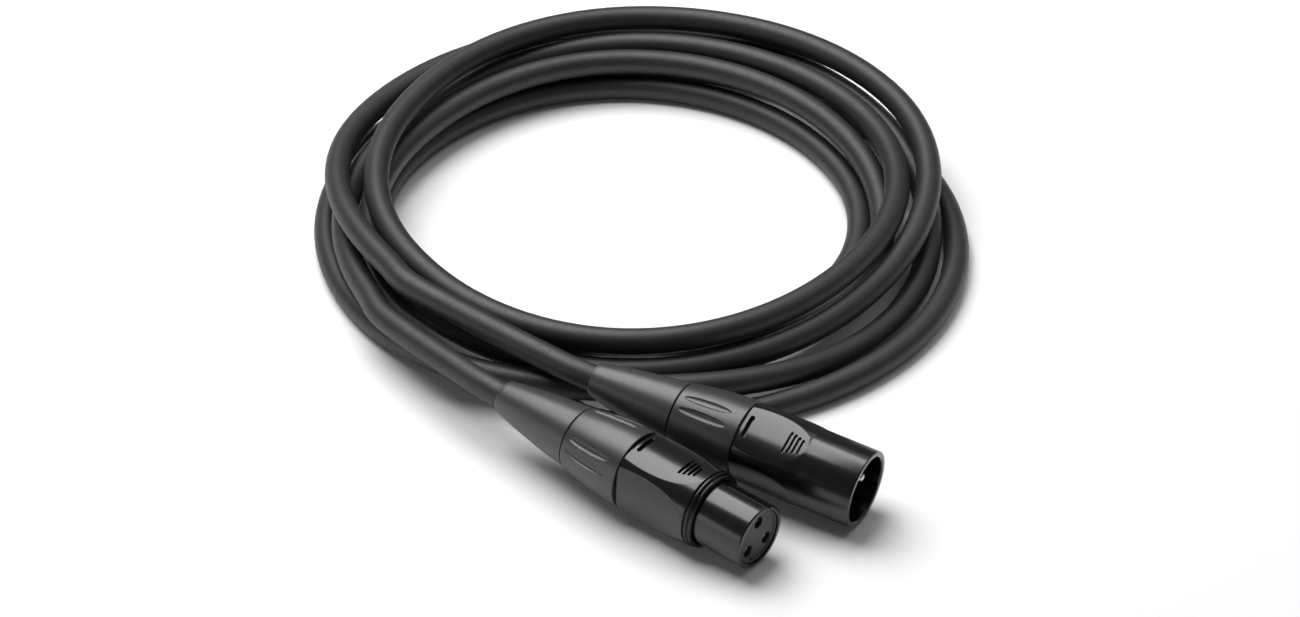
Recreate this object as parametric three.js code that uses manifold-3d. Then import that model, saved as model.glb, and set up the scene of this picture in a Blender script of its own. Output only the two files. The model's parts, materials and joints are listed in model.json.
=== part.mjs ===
// A balanced microphone cable: a male and a female three-pole connector on one cord, laid in a coil.
// Millimetres, +Z up. The cord and both connectors lie on the plane z = 0, and the origin is the middle
// of the rectangle that the two connectors cover there.

import * as THREE from 'three';
import { mergeVertices } from 'three/addons/utils/BufferGeometryUtils.js';
import Module from 'manifold-3d';

const wasm = await Module();
wasm.setup();

// ---------------------------------------------------------------- driving dimensions

// Fits between pieces
const SEAT_GAP = 0.3;
const PIVOT_CLEARANCE = 0.1;
const MATING_CLEARANCE = 0.15;
const OVERRUN = 1; // how far a cutter runs past the skin it opens

// Cord
const CORD_DIAMETER = 6.5;
const WIRE_DIAMETER = 1.3;
const WIRE_CUP_ROOM = 0.5;
const STRAIGHT_END = 7;

// Mating interface
const NOSE_DIAMETER = 15.9;
const MATING_DEPTH = 13.8;
const CONTACT_CIRCLE = 8.2;
const CONTACT_SPREAD = 125;
const PIN_DIAMETER = 2.4;
const PIN_RECESS = 2.6;
const SOCKET_DIAMETER = 3.6;
const SOCKET_RECESS = 1.9;
const CUP_LENGTH = 3.6;
const CUP_BORE = 2;
const CUP_COLLAR = 1;
const PIN_POINT = 0.7;
const PIN_FLANGE = 0.5;
const CONTACT_HOLE_CLEARANCE = 0.25;
const SOCKET_BORE_CLEARANCE = 0.05;
const SOCKET_SPARE = 2;
const KEY_ANGLE = -20;
const KEY_WIDTH = 1.6;
const KEY_HEIGHT = 0.6;
const KEYWAY_SPARE = 1.3;
const KEY_ROOT = 0.4;
const CATCH_BACK = 10.2;
const INSERT_LENGTH = 11.4;

// Male shell
const MALE_SHELL_LENGTH = 31.4;
const BARREL_DIAMETER = 19.05;
const BARREL_LENGTH = 14.6;
const BARREL_STEP = 0.5;
const MALE_WAIST_DIAMETER = 19.3;
const MALE_PAD_DEPTH = 0.75;
const MALE_FRONT_GROOVES = [5.6, 5.2, 4.6, 3.8];

// Female shell
const FEMALE_SHELL_LENGTH = 35.7;
const NOSE_LENGTH = 13.2;
const COLLAR_LENGTH = 4;
const COLLAR_DIAMETER = 18.9;
const COLLAR_LIP = 0.6;
const COLLAR_ROUNDING = 0.15;
const FEMALE_WAIST_DIAMETER = 19;
const NOSE_WALL = 1.05;
const FEMALE_INSERT_LENGTH = 23.3;
const FEMALE_PAD_DEPTH = 1;
const PAD_SHOULDER = 1;
const FEMALE_FRONT_GROOVES = [6, 5.4, 4.6, 3.6];

// Both shells
const SHELL_REAR_DIAMETER = 19.7;
const SHELL_BULGE = 0.35;
const SHELL_RIM = 0.7;
const REAR_BORE = 13.2;
const SPIGOT_DIAMETER = 14.8;
const SPIGOT_LENGTH = 7.9;
const JOINT_INSET = 0.05;
const PAD_CROWN_RADIUS = 18;
const PAD_GROOVE_WIDTH = 0.6;
const PAD_GROOVE_DEPTH = 0.5;
const PAD_GROOVE_PITCH = 1.15;
const REAR_GROOVE_LENGTH = 5.8;
const REAR_GROOVE_INSET = 1.5;
const FRONT_GROOVES_INSET = 3;
const EDGE_CHAMFER = 0.3;

// Bushing, boot and clamp
const BUSHING_LENGTH = 17.3;
const BUSHING_REAR_DIAMETER = 15.9;
const BUSHING_BULGE = 0.4;
const BUSHING_REAR_BORE = 12.6;
const GRIP_LENGTH = 12.6;
const GRIP_WIDTH = 2;
const GRIP_DEPTH = 0.55;
const GRIP_SPACING = 22;
const GRIP_GROUPS = 4;
const GRIP_FROM_REAR = 7.8;
const BOOT_SHOULDER_INSET = 0.15;
const BOOT_LENGTH = 23.5;
const BOOT_MOUTH_DIAMETER = 8.4;
const BOOT_BULGE = 0.3;
const BOOT_PLUG_LENGTH = 6;
const CLAMP_LENGTH = 6.8;
const CLAMP_SLOTS = 4;
const CLAMP_SLOT_WIDTH = 1.2;
const CLAMP_BAND = 2;
const CLAMP_TAPER = { length: 1.5, depth: 0.8 };

// Latch of the female connector, on the side of the two lower contacts
const LATCH_WIDTH = 3.2;
const LATCH_THICKNESS = 0.9;
const LATCH_DROP = 5.5;
const LATCH_PIVOT_BACK = 33;
const LATCH_PIVOT_DROP = 5;
const LATCH_EYE_DIAMETER = 2.3;
const LATCH_PIN_DIAMETER = 1;
const LATCH_TRAVEL_ROOM = 1.4;
const LATCH_REAR_TAPER = 0.3;
const HOOK_LENGTH = 2.3;
const HOOK_REACH = 0.8;
const HOOK_TIP = 0.5;
const HOOK_RAMP = 1.3;
const BUTTON_FRONT = 19;
const BUTTON_LENGTH = 5;
const BUTTON_DROP = 9.3;
const BUTTON_ROOT = 1.2;
const EAR_THICKNESS = 0.6;
const EAR_ROOT = 0.7;
const EAR_BELOW_PIVOT = 0.85;
const EAR_ABOVE_PIVOT = 0.7;
const SPRING_THICKNESS = 0.3;
const SPRING_LENGTH = 5.6;
const SPRING_RISE = 1.4;
const SPRING_KNEE = { along: 0.45, down: 0.35 };
const SPRING_SIDE_ROOM = 0.4;

// Earth strips in the inserts' sides
const CONTACT_STRIP_THICKNESS = 0.5;
const CONTACT_STRIP_WIDTH = 3.2;
const MALE_STRIP_INSET = 2;
const FEMALE_STRIP_SPAN = [8, 20];

// How the two connectors lie: middle of the mating face, heading and nose-down tilt, and roll about
// the axis
const MALE_POSE = { x: 49.9, y: -86.6, heading: -29.3, tilt: 4.8, roll: 27, bushingTurn: 3 };
const FEMALE_POSE = { x: 25, y: -103.2, heading: -39.2, tilt: 3.2, roll: 0, bushingTurn: -27 };

// How the cord is laid by hand. Two windings run clockwise, seen from above, from an entry at the front
// to a fold there. Each turn is placed at six stations, 60 degrees apart: how far out from the coil's
// middle the middle of the cord lies, and how far up.
const COIL_CENTRE = { x: -6.6, y: 32 };
const TURN_STATIONS = 6;
const MALE_ENTRY = { out: 78, up: 15.5 };
const MALE_TURNS = [
  { out: [69, 78.5, 87, 78.5, 78.5, 79.5], up: [17.5, 12, 8.5, 9.5, 3, 10] },
  { out: [75, 78, 78.5, 81.5, 86.5, 84], up: [3, 3, 3, 2.5, 3, 2.5] },
];
const FEMALE_ENTRY = { out: 94, up: 17 };
const FEMALE_TURNS = [
  { out: [74, 71.5, 76, 72.5, 67, 68], up: [10, 7.5, 11.5, 13.5, 15.5, 15.5] },
  { out: [62, 66.5, 81.5, 82, 72.5, 72], up: [16.5, 17.5, 16.5, 16, 10.5, 9.5] },
  { out: [66, 63.5, 69, 66, 66, 62], up: [10, 10, 10.5, 10, 5, 10.5] },
  { out: [62.5, 65, 68, 62.5, 58, 51], up: [3.5, 3, 3, 3, 3, 2.5] },
];
const RINGS_PER_TURN = 24;
const CORD_SIDES = 6;
const FOLD_STEPS = 7;
const LEAD_SIDES = 10;

// Facets
const ROUND = 40;
const SMALL_ROUND = 14;

// ---------------------------------------------------------------- materials

const SATIN_BLACK = { color: 0x121214, roughness: 0.32, metalness: 0.75 };
const MATTE_GREY = { color: 0x37373a, roughness: 0.62, metalness: 0.1 };
const BOOT_RUBBER = { color: 0x3c3d40, roughness: 0.75, metalness: 0 };
const CORD_BLACK = { color: 0x1b1b1d, roughness: 0.55, metalness: 0 };
const RING_BLACK = { color: 0x0b0b0c, roughness: 0.4, metalness: 0 };
const INSERT_BLACK = { color: 0x18181a, roughness: 0.5, metalness: 0 };
const SILVERED = { color: 0xc9c9c6, roughness: 0.28, metalness: 1 };
const SPRING_STEEL = { color: 0x9a9b9e, roughness: 0.35, metalness: 1 };
const CLAMP_NYLON = { color: 0x77787c, roughness: 0.6, metalness: 0 };
const WIRES = [
  { core: 'shield', color: 0x2d6b3c },
  { core: 'hot', color: 0xa82020 },
  { core: 'cold', color: 0xd8d6cf },
];

// ---------------------------------------------------------------- helpers

const radians = THREE.MathUtils.degToRad;
const lerp = THREE.MathUtils.lerp;

function signedVolume(position, triangles) {
  const [a, b, c] = [new THREE.Vector3(), new THREE.Vector3(), new THREE.Vector3()];
  let volume = 0;
  for (let i = 0; i < triangles.length; i += 3) {
    a.fromBufferAttribute(position, triangles[i]);
    b.fromBufferAttribute(position, triangles[i + 1]);
    c.fromBufferAttribute(position, triangles[i + 2]);
    volume += a.dot(b.cross(c)) / 6;
  }
  return volume;
}

// One closed surface: corners shared, no collapsed triangles, faces pointing out.
function closed(geometry) {
  geometry.deleteAttribute('normal');
  geometry.deleteAttribute('uv');
  const welded = mergeVertices(geometry, 1e-4);
  const corners = Array.from(welded.index.array);
  const triangles = [];
  for (let i = 0; i < corners.length; i += 3) {
    const [a, b, c] = corners.slice(i, i + 3);
    if (a !== b && b !== c && c !== a) triangles.push(a, b, c);
  }
  if (signedVolume(welded.attributes.position, triangles) < 0) triangles.reverse();
  welded.setIndex(triangles);
  welded.computeVertexNormals();
  return welded;
}

function solid(geometry) {
  const shape = closed(geometry);
  const vertProperties = new Float32Array(shape.attributes.position.array);
  const triVerts = new Uint32Array(shape.index.array);
  return new wasm.Manifold(new wasm.Mesh({ numProp: 3, vertProperties, triVerts }));
}

function surface(body) {
  const mesh = body.getMesh();
  const geometry = new THREE.BufferGeometry();
  geometry.setAttribute('position', new THREE.BufferAttribute(mesh.vertProperties, 3));
  geometry.setIndex(new THREE.BufferAttribute(mesh.triVerts, 1));
  geometry.computeVertexNormals();
  return geometry;
}

function shaped(base, { joined = [], removed = [] }) {
  let body = solid(base);
  for (const extra of joined) body = body.add(solid(extra));
  for (const cutter of removed) body = body.subtract(solid(cutter));
  return surface(body);
}

function piece(name, geometry, look) {
  const mesh = new THREE.Mesh(geometry, new THREE.MeshStandardMaterial(look));
  mesh.name = name;
  return mesh;
}

// In a connector's own frame the mating face is the plane x = 0, the rear lies towards -X and +Z is the
// side of the single upper contact. A profile is a list of [radius, distance back from the mating face].
function revolved(profile, segments = ROUND) {
  const points = profile.map(([radius, back]) => new THREE.Vector2(radius, back));
  return closed(new THREE.LatheGeometry(points, segments).rotateZ(Math.PI / 2));
}

function ring(profile, segments = ROUND) {
  return revolved([...profile, profile[0]], segments);
}

function rod(radius, front, rear, segments = SMALL_ROUND) {
  return revolved([[0, front], [radius, front], [radius, rear], [0, rear]], segments);
}

// A block from its distances back, its half width and its heights.
function block(front, rear, halfWidth, low, high) {
  const box = new THREE.BoxGeometry(rear - front, 2 * halfWidth, high - low);
  return box.translate(-(front + rear) / 2, 0, (low + high) / 2);
}

// A plate drawn in side view as [distance back, height], as wide as given.
function sidePlate(outline, width) {
  const shape = new THREE.Shape(outline.map(([back, height]) => new THREE.Vector2(-back, height)));
  const plate = new THREE.ExtrudeGeometry(shape, { depth: width, bevelEnabled: false });
  return closed(plate.rotateX(Math.PI / 2).translate(0, width / 2, 0));
}

// A gently swelling wall between two radii.
function swelling(front, rear, frontRadius, rearRadius, bulge, steps) {
  return Array.from({ length: steps + 1 }, (_, i) => {
    const share = i / steps;
    const radius = lerp(frontRadius, rearRadius, share) + 4 * bulge * share * (1 - share);
    return [radius, lerp(front, rear, share)];
  });
}

// ---------------------------------------------------------------- contacts

const CONTACT_ANGLES = [CONTACT_SPREAD, -CONTACT_SPREAD, 0];

// The male connector meets the female one face to face, so its left and right are the other way round.
const FEMALE_HAND = 1;
const MALE_HAND = -1;

// Contacts 1 and 2 sit low at either side and contact 3 on top.
function contactPlace(number, hand) {
  const angle = radians(hand * CONTACT_ANGLES[number - 1]);
  return { y: Math.sin(angle) * CONTACT_CIRCLE / 2, z: Math.cos(angle) * CONTACT_CIRCLE / 2 };
}

function atContact(geometry, number, hand) {
  const { y, z } = contactPlace(number, hand);
  return geometry.translate(0, y, z);
}

function solderCup(radius, front, rear) {
  const bore = CUP_BORE / 2;
  const bottom = rear - CUP_LENGTH;
  return [[radius, front], [radius, rear], [bore, rear], [bore, bottom], [0, bottom]];
}

// ---------------------------------------------------------------- shells

const shellRear = SHELL_REAR_DIAMETER / 2;
const rearBore = REAR_BORE / 2;
const spigot = SPIGOT_DIAMETER / 2;
const noseRadius = NOSE_DIAMETER / 2;
const noseBore = noseRadius - NOSE_WALL;
const barrel = BARREL_DIAMETER / 2;
const barrelBore = noseRadius + MATING_CLEARANCE;
const SWELL_STEPS = 7;

// One crowned pad, cut into the swelling body from a fine tip at the apex to its full depth at the rear
// rim. The crest is the line that runs along the middle of the pad.
function padCrest(apex, rear, apexRadius, depth) {
  const rearHeight = shellRear - depth;
  const slope = (apexRadius - rearHeight) / (rear - apex);
  return { apex, rear, rearHeight, slope, heightAt: (back) => rearHeight + (rear - back) * slope };
}

function padCutter(crest) {
  const reach = PAD_CROWN_RADIUS / 2;
  const sweep = Math.asin(reach / PAD_CROWN_RADIUS);
  const outline = new THREE.Shape();
  outline.moveTo(-reach, reach);
  outline.lineTo(-reach, PAD_CROWN_RADIUS * (Math.cos(sweep) - 1));
  outline.absarc(0, -PAD_CROWN_RADIUS, PAD_CROWN_RADIUS, Math.PI / 2 + sweep, Math.PI / 2 - sweep, true);
  outline.lineTo(reach, reach);
  const cutter = new THREE.ExtrudeGeometry(outline, {
    depth: crest.rear - crest.apex, bevelEnabled: false, curveSegments: 7,
  });
  const upright = new THREE.Matrix4().makeBasis(
    new THREE.Vector3(0, 1, 0), new THREE.Vector3(0, 0, 1), new THREE.Vector3(1, 0, 0),
  );
  cutter.applyMatrix4(upright).rotateY(-Math.atan(crest.slope));
  return cutter.translate(-crest.rear, 0, crest.rearHeight);
}

function padCutters(crest) {
  return [0, 90, 180, 270].map((angle) => padCutter(crest).rotateX(radians(angle)));
}

function padGroove(crest, back, length) {
  const half = PAD_GROOVE_WIDTH / 2;
  const skin = crest.heightAt(back);
  return block(back - half, back + half, length / 2, skin - PAD_GROOVE_DEPTH, skin + OVERRUN);
}

// Finger grooves on the upper pad: one behind, and a row that shortens towards the apex.
function padGrooves(crest, lengths) {
  const first = crest.apex + FRONT_GROOVES_INSET + (lengths.length - 1) * PAD_GROOVE_PITCH;
  const row = lengths.map((length, i) => padGroove(crest, first - i * PAD_GROOVE_PITCH, length));
  return [padGroove(crest, crest.rear - REAR_GROOVE_INSET, REAR_GROOVE_LENGTH), ...row];
}

function keyBlock(front, rear, low, high, width, hand) {
  return block(front, rear, width / 2, low, high).rotateX(radians(hand * KEY_ANGLE));
}

function rearSpigot(shellEnd) {
  const end = shellEnd + SPIGOT_LENGTH;
  return [[spigot, shellEnd - SEAT_GAP], [spigot, end], [rearBore, end]];
}

function maleShell() {
  const waist = MALE_WAIST_DIAMETER / 2;
  const bodyFront = BARREL_LENGTH + BARREL_STEP;
  const bodyEnd = MALE_SHELL_LENGTH - SEAT_GAP;
  const insertEnd = MATING_DEPTH + INSERT_LENGTH + SEAT_GAP;
  const blank = ring([
    [barrel - EDGE_CHAMFER, 0], [barrel, EDGE_CHAMFER], [barrel, BARREL_LENGTH - SEAT_GAP],
    [barrel - SEAT_GAP, BARREL_LENGTH], [waist - SEAT_GAP, bodyFront - SEAT_GAP],
    ...swelling(bodyFront, bodyEnd - EDGE_CHAMFER, waist, shellRear, SHELL_BULGE, SWELL_STEPS),
    [shellRear - EDGE_CHAMFER, bodyEnd],
    ...rearSpigot(MALE_SHELL_LENGTH),
    [rearBore, insertEnd], [barrelBore, insertEnd],
    [barrelBore, EDGE_CHAMFER], [barrelBore + EDGE_CHAMFER, 0],
  ]);
  const crest = padCrest(BARREL_LENGTH, bodyEnd - SHELL_RIM, waist, MALE_PAD_DEPTH);
  const keyEnd = MATING_DEPTH - SEAT_GAP;
  const keyTop = barrelBore - KEY_HEIGHT;
  const key = keyBlock(PIN_RECESS, keyEnd, keyTop, barrelBore + KEY_ROOT, KEY_WIDTH, MALE_HAND);
  const catchHalf = HOOK_LENGTH / 2 + SEAT_GAP;
  const catchWindow = block(
    CATCH_BACK - catchHalf, CATCH_BACK + catchHalf, LATCH_WIDTH / 2 + SEAT_GAP,
    -barrel - OVERRUN, -barrelBore + OVERRUN,
  );
  return shaped(blank, {
    joined: [key],
    removed: [...padCutters(crest), ...padGrooves(crest, MALE_FRONT_GROOVES), catchWindow],
  });
}

const bodyFace = NOSE_LENGTH + COLLAR_LENGTH + SEAT_GAP;
const femaleInsertFront = 0.4;
const hookRear = MATING_DEPTH - CATCH_BACK + HOOK_LENGTH / 2;
const hookFront = hookRear - HOOK_LENGTH;

function femaleShell() {
  const waist = FEMALE_WAIST_DIAMETER / 2;
  const bodyEnd = FEMALE_SHELL_LENGTH - SEAT_GAP;
  const insertEnd = femaleInsertFront + FEMALE_INSERT_LENGTH + SEAT_GAP;
  const blank = ring([
    [noseRadius - 2 * EDGE_CHAMFER, 0], [noseRadius, 2 * EDGE_CHAMFER], [noseRadius, bodyFace],
    [waist - EDGE_CHAMFER, bodyFace],
    ...swelling(
      bodyFace + EDGE_CHAMFER, bodyEnd - EDGE_CHAMFER, waist, shellRear, SHELL_BULGE, SWELL_STEPS,
    ),
    [shellRear - EDGE_CHAMFER, bodyEnd],
    ...rearSpigot(FEMALE_SHELL_LENGTH),
    [rearBore, insertEnd], [noseBore, insertEnd], [noseBore, 0],
  ]);
  const crest = padCrest(bodyFace + PAD_SHOULDER, bodyEnd - SHELL_RIM, waist, FEMALE_PAD_DEPTH);
  const keywayEnd = MATING_DEPTH - PIN_RECESS + KEYWAY_SPARE;
  const keywayWidth = KEY_WIDTH + 2 * MATING_CLEARANCE;
  const keyway = keyBlock(
    -OVERRUN, keywayEnd, noseRadius - KEY_HEIGHT, noseRadius + OVERRUN, keywayWidth, FEMALE_HAND,
  );
  const slotHalf = LATCH_WIDTH / 2 + SEAT_GAP;
  const hookSlot = block(
    hookFront - SEAT_GAP, hookRear + SEAT_GAP, slotHalf, -noseRadius - OVERRUN, -noseBore + OVERRUN,
  );
  const buttonEnd = BUTTON_FRONT + BUTTON_LENGTH;
  const buttonWindow = block(
    BUTTON_FRONT - SEAT_GAP, buttonEnd + SEAT_GAP, slotHalf, -shellRear - OVERRUN, -noseBore + OVERRUN,
  );
  return shaped(blank, {
    removed: [
      ...padCutters(crest), ...padGrooves(crest, FEMALE_FRONT_GROOVES), keyway, hookSlot, buttonWindow,
    ],
  });
}

function collarRing() {
  const inner = noseRadius + SEAT_GAP;
  const outer = COLLAR_DIAMETER / 2;
  const end = NOSE_LENGTH + COLLAR_LENGTH;
  const valley = NOSE_LENGTH + COLLAR_LENGTH / 2;
  return ring([
    [inner, NOSE_LENGTH], [outer - COLLAR_LIP, NOSE_LENGTH],
    [outer - COLLAR_ROUNDING, NOSE_LENGTH + EDGE_CHAMFER],
    [outer - COLLAR_ROUNDING, valley - COLLAR_LIP], [outer - COLLAR_LIP, valley],
    [outer, valley + COLLAR_LIP], [outer, end - COLLAR_ROUNDING], [inner, end],
  ]);
}

// ---------------------------------------------------------------- inserts and contacts

// A shallow pocket in an insert's side, and the bowed earth strip that lies in it.
function stripPocket(insertRadius, front, rear) {
  const depth = CONTACT_STRIP_THICKNESS + 2 * SEAT_GAP;
  const pocket = block(
    front, rear, CONTACT_STRIP_WIDTH / 2, insertRadius - depth, insertRadius + OVERRUN,
  );
  return pocket.rotateX(-Math.PI / 2);
}

function earthStrip(insertRadius, front, rear) {
  const low = insertRadius - CONTACT_STRIP_THICKNESS - SEAT_GAP;
  const start = front + SEAT_GAP;
  const end = rear - SEAT_GAP;
  const middle = (start + end) / 2;
  const leaf = CONTACT_STRIP_THICKNESS / 2;
  const outline = [
    [start, low], [end, low], [end, low + leaf], [middle, low + 2 * leaf], [start, low + leaf],
  ];
  return sidePlate(outline, CONTACT_STRIP_WIDTH - 2 * SEAT_GAP).rotateX(-Math.PI / 2);
}

const maleInsertRadius = barrelBore - SEAT_GAP;
const maleStrip = [
  maleInsertRadius, MATING_DEPTH + MALE_STRIP_INSET, MATING_DEPTH + INSERT_LENGTH - MALE_STRIP_INSET,
];

function maleInsert() {
  const disc = rod(maleInsertRadius, MATING_DEPTH, MATING_DEPTH + INSERT_LENGTH, ROUND);
  const holes = [1, 2, 3].map((number) => {
    const end = MATING_DEPTH + INSERT_LENGTH + OVERRUN;
    return atContact(rod(PIN_DIAMETER / 2 + SEAT_GAP, MATING_DEPTH - OVERRUN, end), number, MALE_HAND);
  });
  return shaped(disc, { removed: [...holes, stripPocket(...maleStrip)] });
}

function malePin() {
  const radius = PIN_DIAMETER / 2;
  const flange = MATING_DEPTH + INSERT_LENGTH + SEAT_GAP;
  const rear = flange + CUP_LENGTH + CUP_COLLAR;
  return revolved([
    [0, PIN_RECESS], [radius - PIN_POINT / 2, PIN_RECESS], [radius, PIN_RECESS + PIN_POINT],
    [radius, flange], ...solderCup(radius + PIN_FLANGE, flange, rear),
  ], SMALL_ROUND);
}

const femaleInsertRadius = noseBore - SEAT_GAP;
const femaleInsertEnd = femaleInsertFront + FEMALE_INSERT_LENGTH;
const femaleStrip = [femaleInsertRadius, ...FEMALE_STRIP_SPAN];

function femaleInsert() {
  const plug = rod(femaleInsertRadius, femaleInsertFront, femaleInsertEnd, ROUND);
  const earInner = LATCH_WIDTH / 2 + SEAT_GAP;
  const earLow = -LATCH_PIVOT_DROP - EAR_BELOW_PIVOT;
  const earHigh = -LATCH_PIVOT_DROP + EAR_ABOVE_PIVOT;
  const earEnd = LATCH_PIVOT_BACK + LATCH_EYE_DIAMETER / 2;
  const ears = [-1, 1].map((side) => {
    const ear = block(femaleInsertEnd - EAR_ROOT, earEnd, EAR_THICKNESS / 2, earLow, earHigh);
    return ear.translate(0, side * (earInner + EAR_THICKNESS / 2), 0);
  });
  const holeEnd = femaleInsertEnd + OVERRUN;
  const channel = block(-OVERRUN, holeEnd, earInner, -noseRadius, -LATCH_DROP + LATCH_TRAVEL_ROOM);
  const mouth = rod(PIN_DIAMETER / 2 + CONTACT_HOLE_CLEARANCE, -OVERRUN, SOCKET_RECESS);
  const seat = rod(SOCKET_DIAMETER / 2 + SEAT_GAP, SOCKET_RECESS - SEAT_GAP, holeEnd);
  const holes = [1, 2, 3].flatMap((number) => [
    atContact(mouth.clone(), number, FEMALE_HAND),
    atContact(seat.clone(), number, FEMALE_HAND),
  ]);
  const pivotRadius = LATCH_PIN_DIAMETER / 2 + PIVOT_CLEARANCE;
  const pivot = crossPin(pivotRadius, 2 * (earInner + EAR_THICKNESS + OVERRUN));
  return shaped(plug, { joined: ears, removed: [channel, ...holes, stripPocket(...femaleStrip), pivot] });
}

function femaleSocket() {
  const radius = SOCKET_DIAMETER / 2;
  const bore = PIN_DIAMETER / 2 + SOCKET_BORE_CLEARANCE;
  const boreEnd = MATING_DEPTH - PIN_RECESS + SOCKET_SPARE;
  const rear = femaleInsertEnd + CUP_LENGTH + CUP_COLLAR;
  return revolved([
    [0, boreEnd], [bore, boreEnd], [bore, SOCKET_RECESS], ...solderCup(radius, SOCKET_RECESS, rear),
  ], SMALL_ROUND);
}

// ---------------------------------------------------------------- latch

// A round bar across the connector at the latch pivot.
function crossPin(radius, length) {
  const bar = new THREE.CylinderGeometry(radius, radius, length, SMALL_ROUND);
  return bar.translate(-LATCH_PIVOT_BACK, 0, -LATCH_PIVOT_DROP);
}

// The lever turns about its rear eye. Pressing the button lifts the hook back inside the nose.
function latchLever() {
  const inner = -LATCH_DROP;
  const outer = inner - LATCH_THICKNESS;
  const hookTip = -noseRadius - HOOK_REACH;
  const buttonEnd = BUTTON_FRONT + BUTTON_LENGTH;
  const lever = sidePlate([
    [hookFront, inner], [LATCH_PIVOT_BACK, inner], [LATCH_PIVOT_BACK, outer + LATCH_REAR_TAPER],
    [buttonEnd + BUTTON_ROOT, outer], [buttonEnd, outer],
    [buttonEnd, -BUTTON_DROP + EDGE_CHAMFER], [buttonEnd - EDGE_CHAMFER, -BUTTON_DROP],
    [BUTTON_FRONT + EDGE_CHAMFER, -BUTTON_DROP], [BUTTON_FRONT, -BUTTON_DROP + EDGE_CHAMFER],
    [BUTTON_FRONT, outer], [hookRear, outer], [hookRear, hookTip], [hookRear - HOOK_TIP, hookTip],
    [hookFront, hookTip + HOOK_RAMP],
  ], LATCH_WIDTH);
  return shaped(lever, {
    joined: [crossPin(LATCH_EYE_DIAMETER / 2, LATCH_WIDTH)],
    removed: [crossPin(LATCH_PIN_DIAMETER / 2 + PIVOT_CLEARANCE, LATCH_WIDTH + 2 * OVERRUN)],
  });
}

function latchSpring() {
  const root = femaleInsertEnd + SEAT_GAP;
  const tip = root + SPRING_LENGTH;
  const low = -LATCH_DROP + SEAT_GAP;
  const high = low + SPRING_RISE;
  const knee = lerp(root, tip, SPRING_KNEE.along);
  const kneeLow = lerp(high, low, SPRING_KNEE.down);
  return sidePlate([
    [root, high], [knee, kneeLow], [tip, low], [tip, low + SPRING_THICKNESS],
    [knee, kneeLow + SPRING_THICKNESS], [root, high + SPRING_THICKNESS],
  ], LATCH_WIDTH - 2 * SPRING_SIDE_ROOM);
}

// ---------------------------------------------------------------- cord end of a connector

const cordRadius = CORD_DIAMETER / 2;
const cordBore = cordRadius + SEAT_GAP;
const bushingRear = BUSHING_REAR_DIAMETER / 2;
const bushingRearBore = BUSHING_REAR_BORE / 2;
const plugRadius = bushingRearBore - SEAT_GAP;

function gripBushing(shellEnd, turn) {
  const end = shellEnd + BUSHING_LENGTH;
  const neck = shellEnd + SPIGOT_LENGTH + SEAT_GAP;
  const frontRadius = shellRear - JOINT_INSET;
  const blank = ring([
    [frontRadius - EDGE_CHAMFER, shellEnd],
    ...swelling(shellEnd + EDGE_CHAMFER, end - EDGE_CHAMFER, frontRadius, bushingRear, BUSHING_BULGE, 6),
    [bushingRear - EDGE_CHAMFER, end], [bushingRearBore, end], [bushingRearBore, neck],
    [spigot + SEAT_GAP, neck], [spigot + SEAT_GAP, shellEnd],
  ]);
  const middle = end - GRIP_FROM_REAR;
  const share = (middle - shellEnd) / BUSHING_LENGTH;
  const height = lerp(frontRadius, bushingRear, share) + 4 * BUSHING_BULGE * share * (1 - share);
  const fall = (frontRadius - bushingRear - 4 * BUSHING_BULGE * (1 - 2 * share)) / BUSHING_LENGTH;
  const scoops = [];
  for (let group = 0; group < GRIP_GROUPS; group += 1) {
    for (const side of [-0.5, 0.5]) {
      const angle = turn + (group * 360) / GRIP_GROUPS + side * GRIP_SPACING;
      const scoop = new THREE.SphereGeometry(1, 8, 10).rotateZ(Math.PI / 2);
      scoop.scale(GRIP_LENGTH / 2, GRIP_WIDTH / 2, GRIP_DEPTH).rotateY(-Math.atan(fall));
      scoops.push(scoop.translate(-middle, 0, height).rotateX(radians(angle)));
    }
  }
  return shaped(blank, { removed: scoops });
}

function strainBoot(shellEnd) {
  const shoulder = shellEnd + BUSHING_LENGTH + SEAT_GAP;
  const plugFront = shoulder - BOOT_PLUG_LENGTH;
  const mouth = shellEnd + BUSHING_LENGTH + BOOT_LENGTH;
  const mouthRadius = BOOT_MOUTH_DIAMETER / 2;
  const shoulderRadius = bushingRear - BOOT_SHOULDER_INSET;
  return ring([
    [cordBore, plugFront], [plugRadius, plugFront], [plugRadius, shoulder],
    [shoulderRadius - EDGE_CHAMFER, shoulder],
    ...swelling(shoulder + EDGE_CHAMFER, mouth - EDGE_CHAMFER, shoulderRadius, mouthRadius, BOOT_BULGE, 7),
    [mouthRadius - EDGE_CHAMFER, mouth], [cordBore, mouth],
  ], 32);
}

// The slotted collet that the bushing squeezes onto the jacket.
function cordClamp(shellEnd) {
  const rear = shellEnd + BUSHING_LENGTH - BOOT_PLUG_LENGTH;
  const front = rear - CLAMP_LENGTH;
  const collet = ring([
    [cordBore, front], [plugRadius, front], [plugRadius, rear - CLAMP_TAPER.length],
    [plugRadius - CLAMP_TAPER.depth, rear], [cordBore, rear],
  ], 24);
  const slots = [];
  for (let slot = 0; slot < CLAMP_SLOTS; slot += 1) {
    const bar = block(front + CLAMP_BAND, rear + OVERRUN, CLAMP_SLOT_WIDTH / 2, 1, plugRadius + OVERRUN);
    slots.push(bar.rotateX((slot * 2 * Math.PI) / CLAMP_SLOTS));
  }
  return shaped(collet, { removed: slots });
}

function cordMouth(shellEnd) {
  return shellEnd + BUSHING_LENGTH + BOOT_LENGTH;
}

function jacketEnd(shellEnd) {
  return shellEnd + BUSHING_LENGTH - BOOT_PLUG_LENGTH - CLAMP_LENGTH - SEAT_GAP;
}

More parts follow.
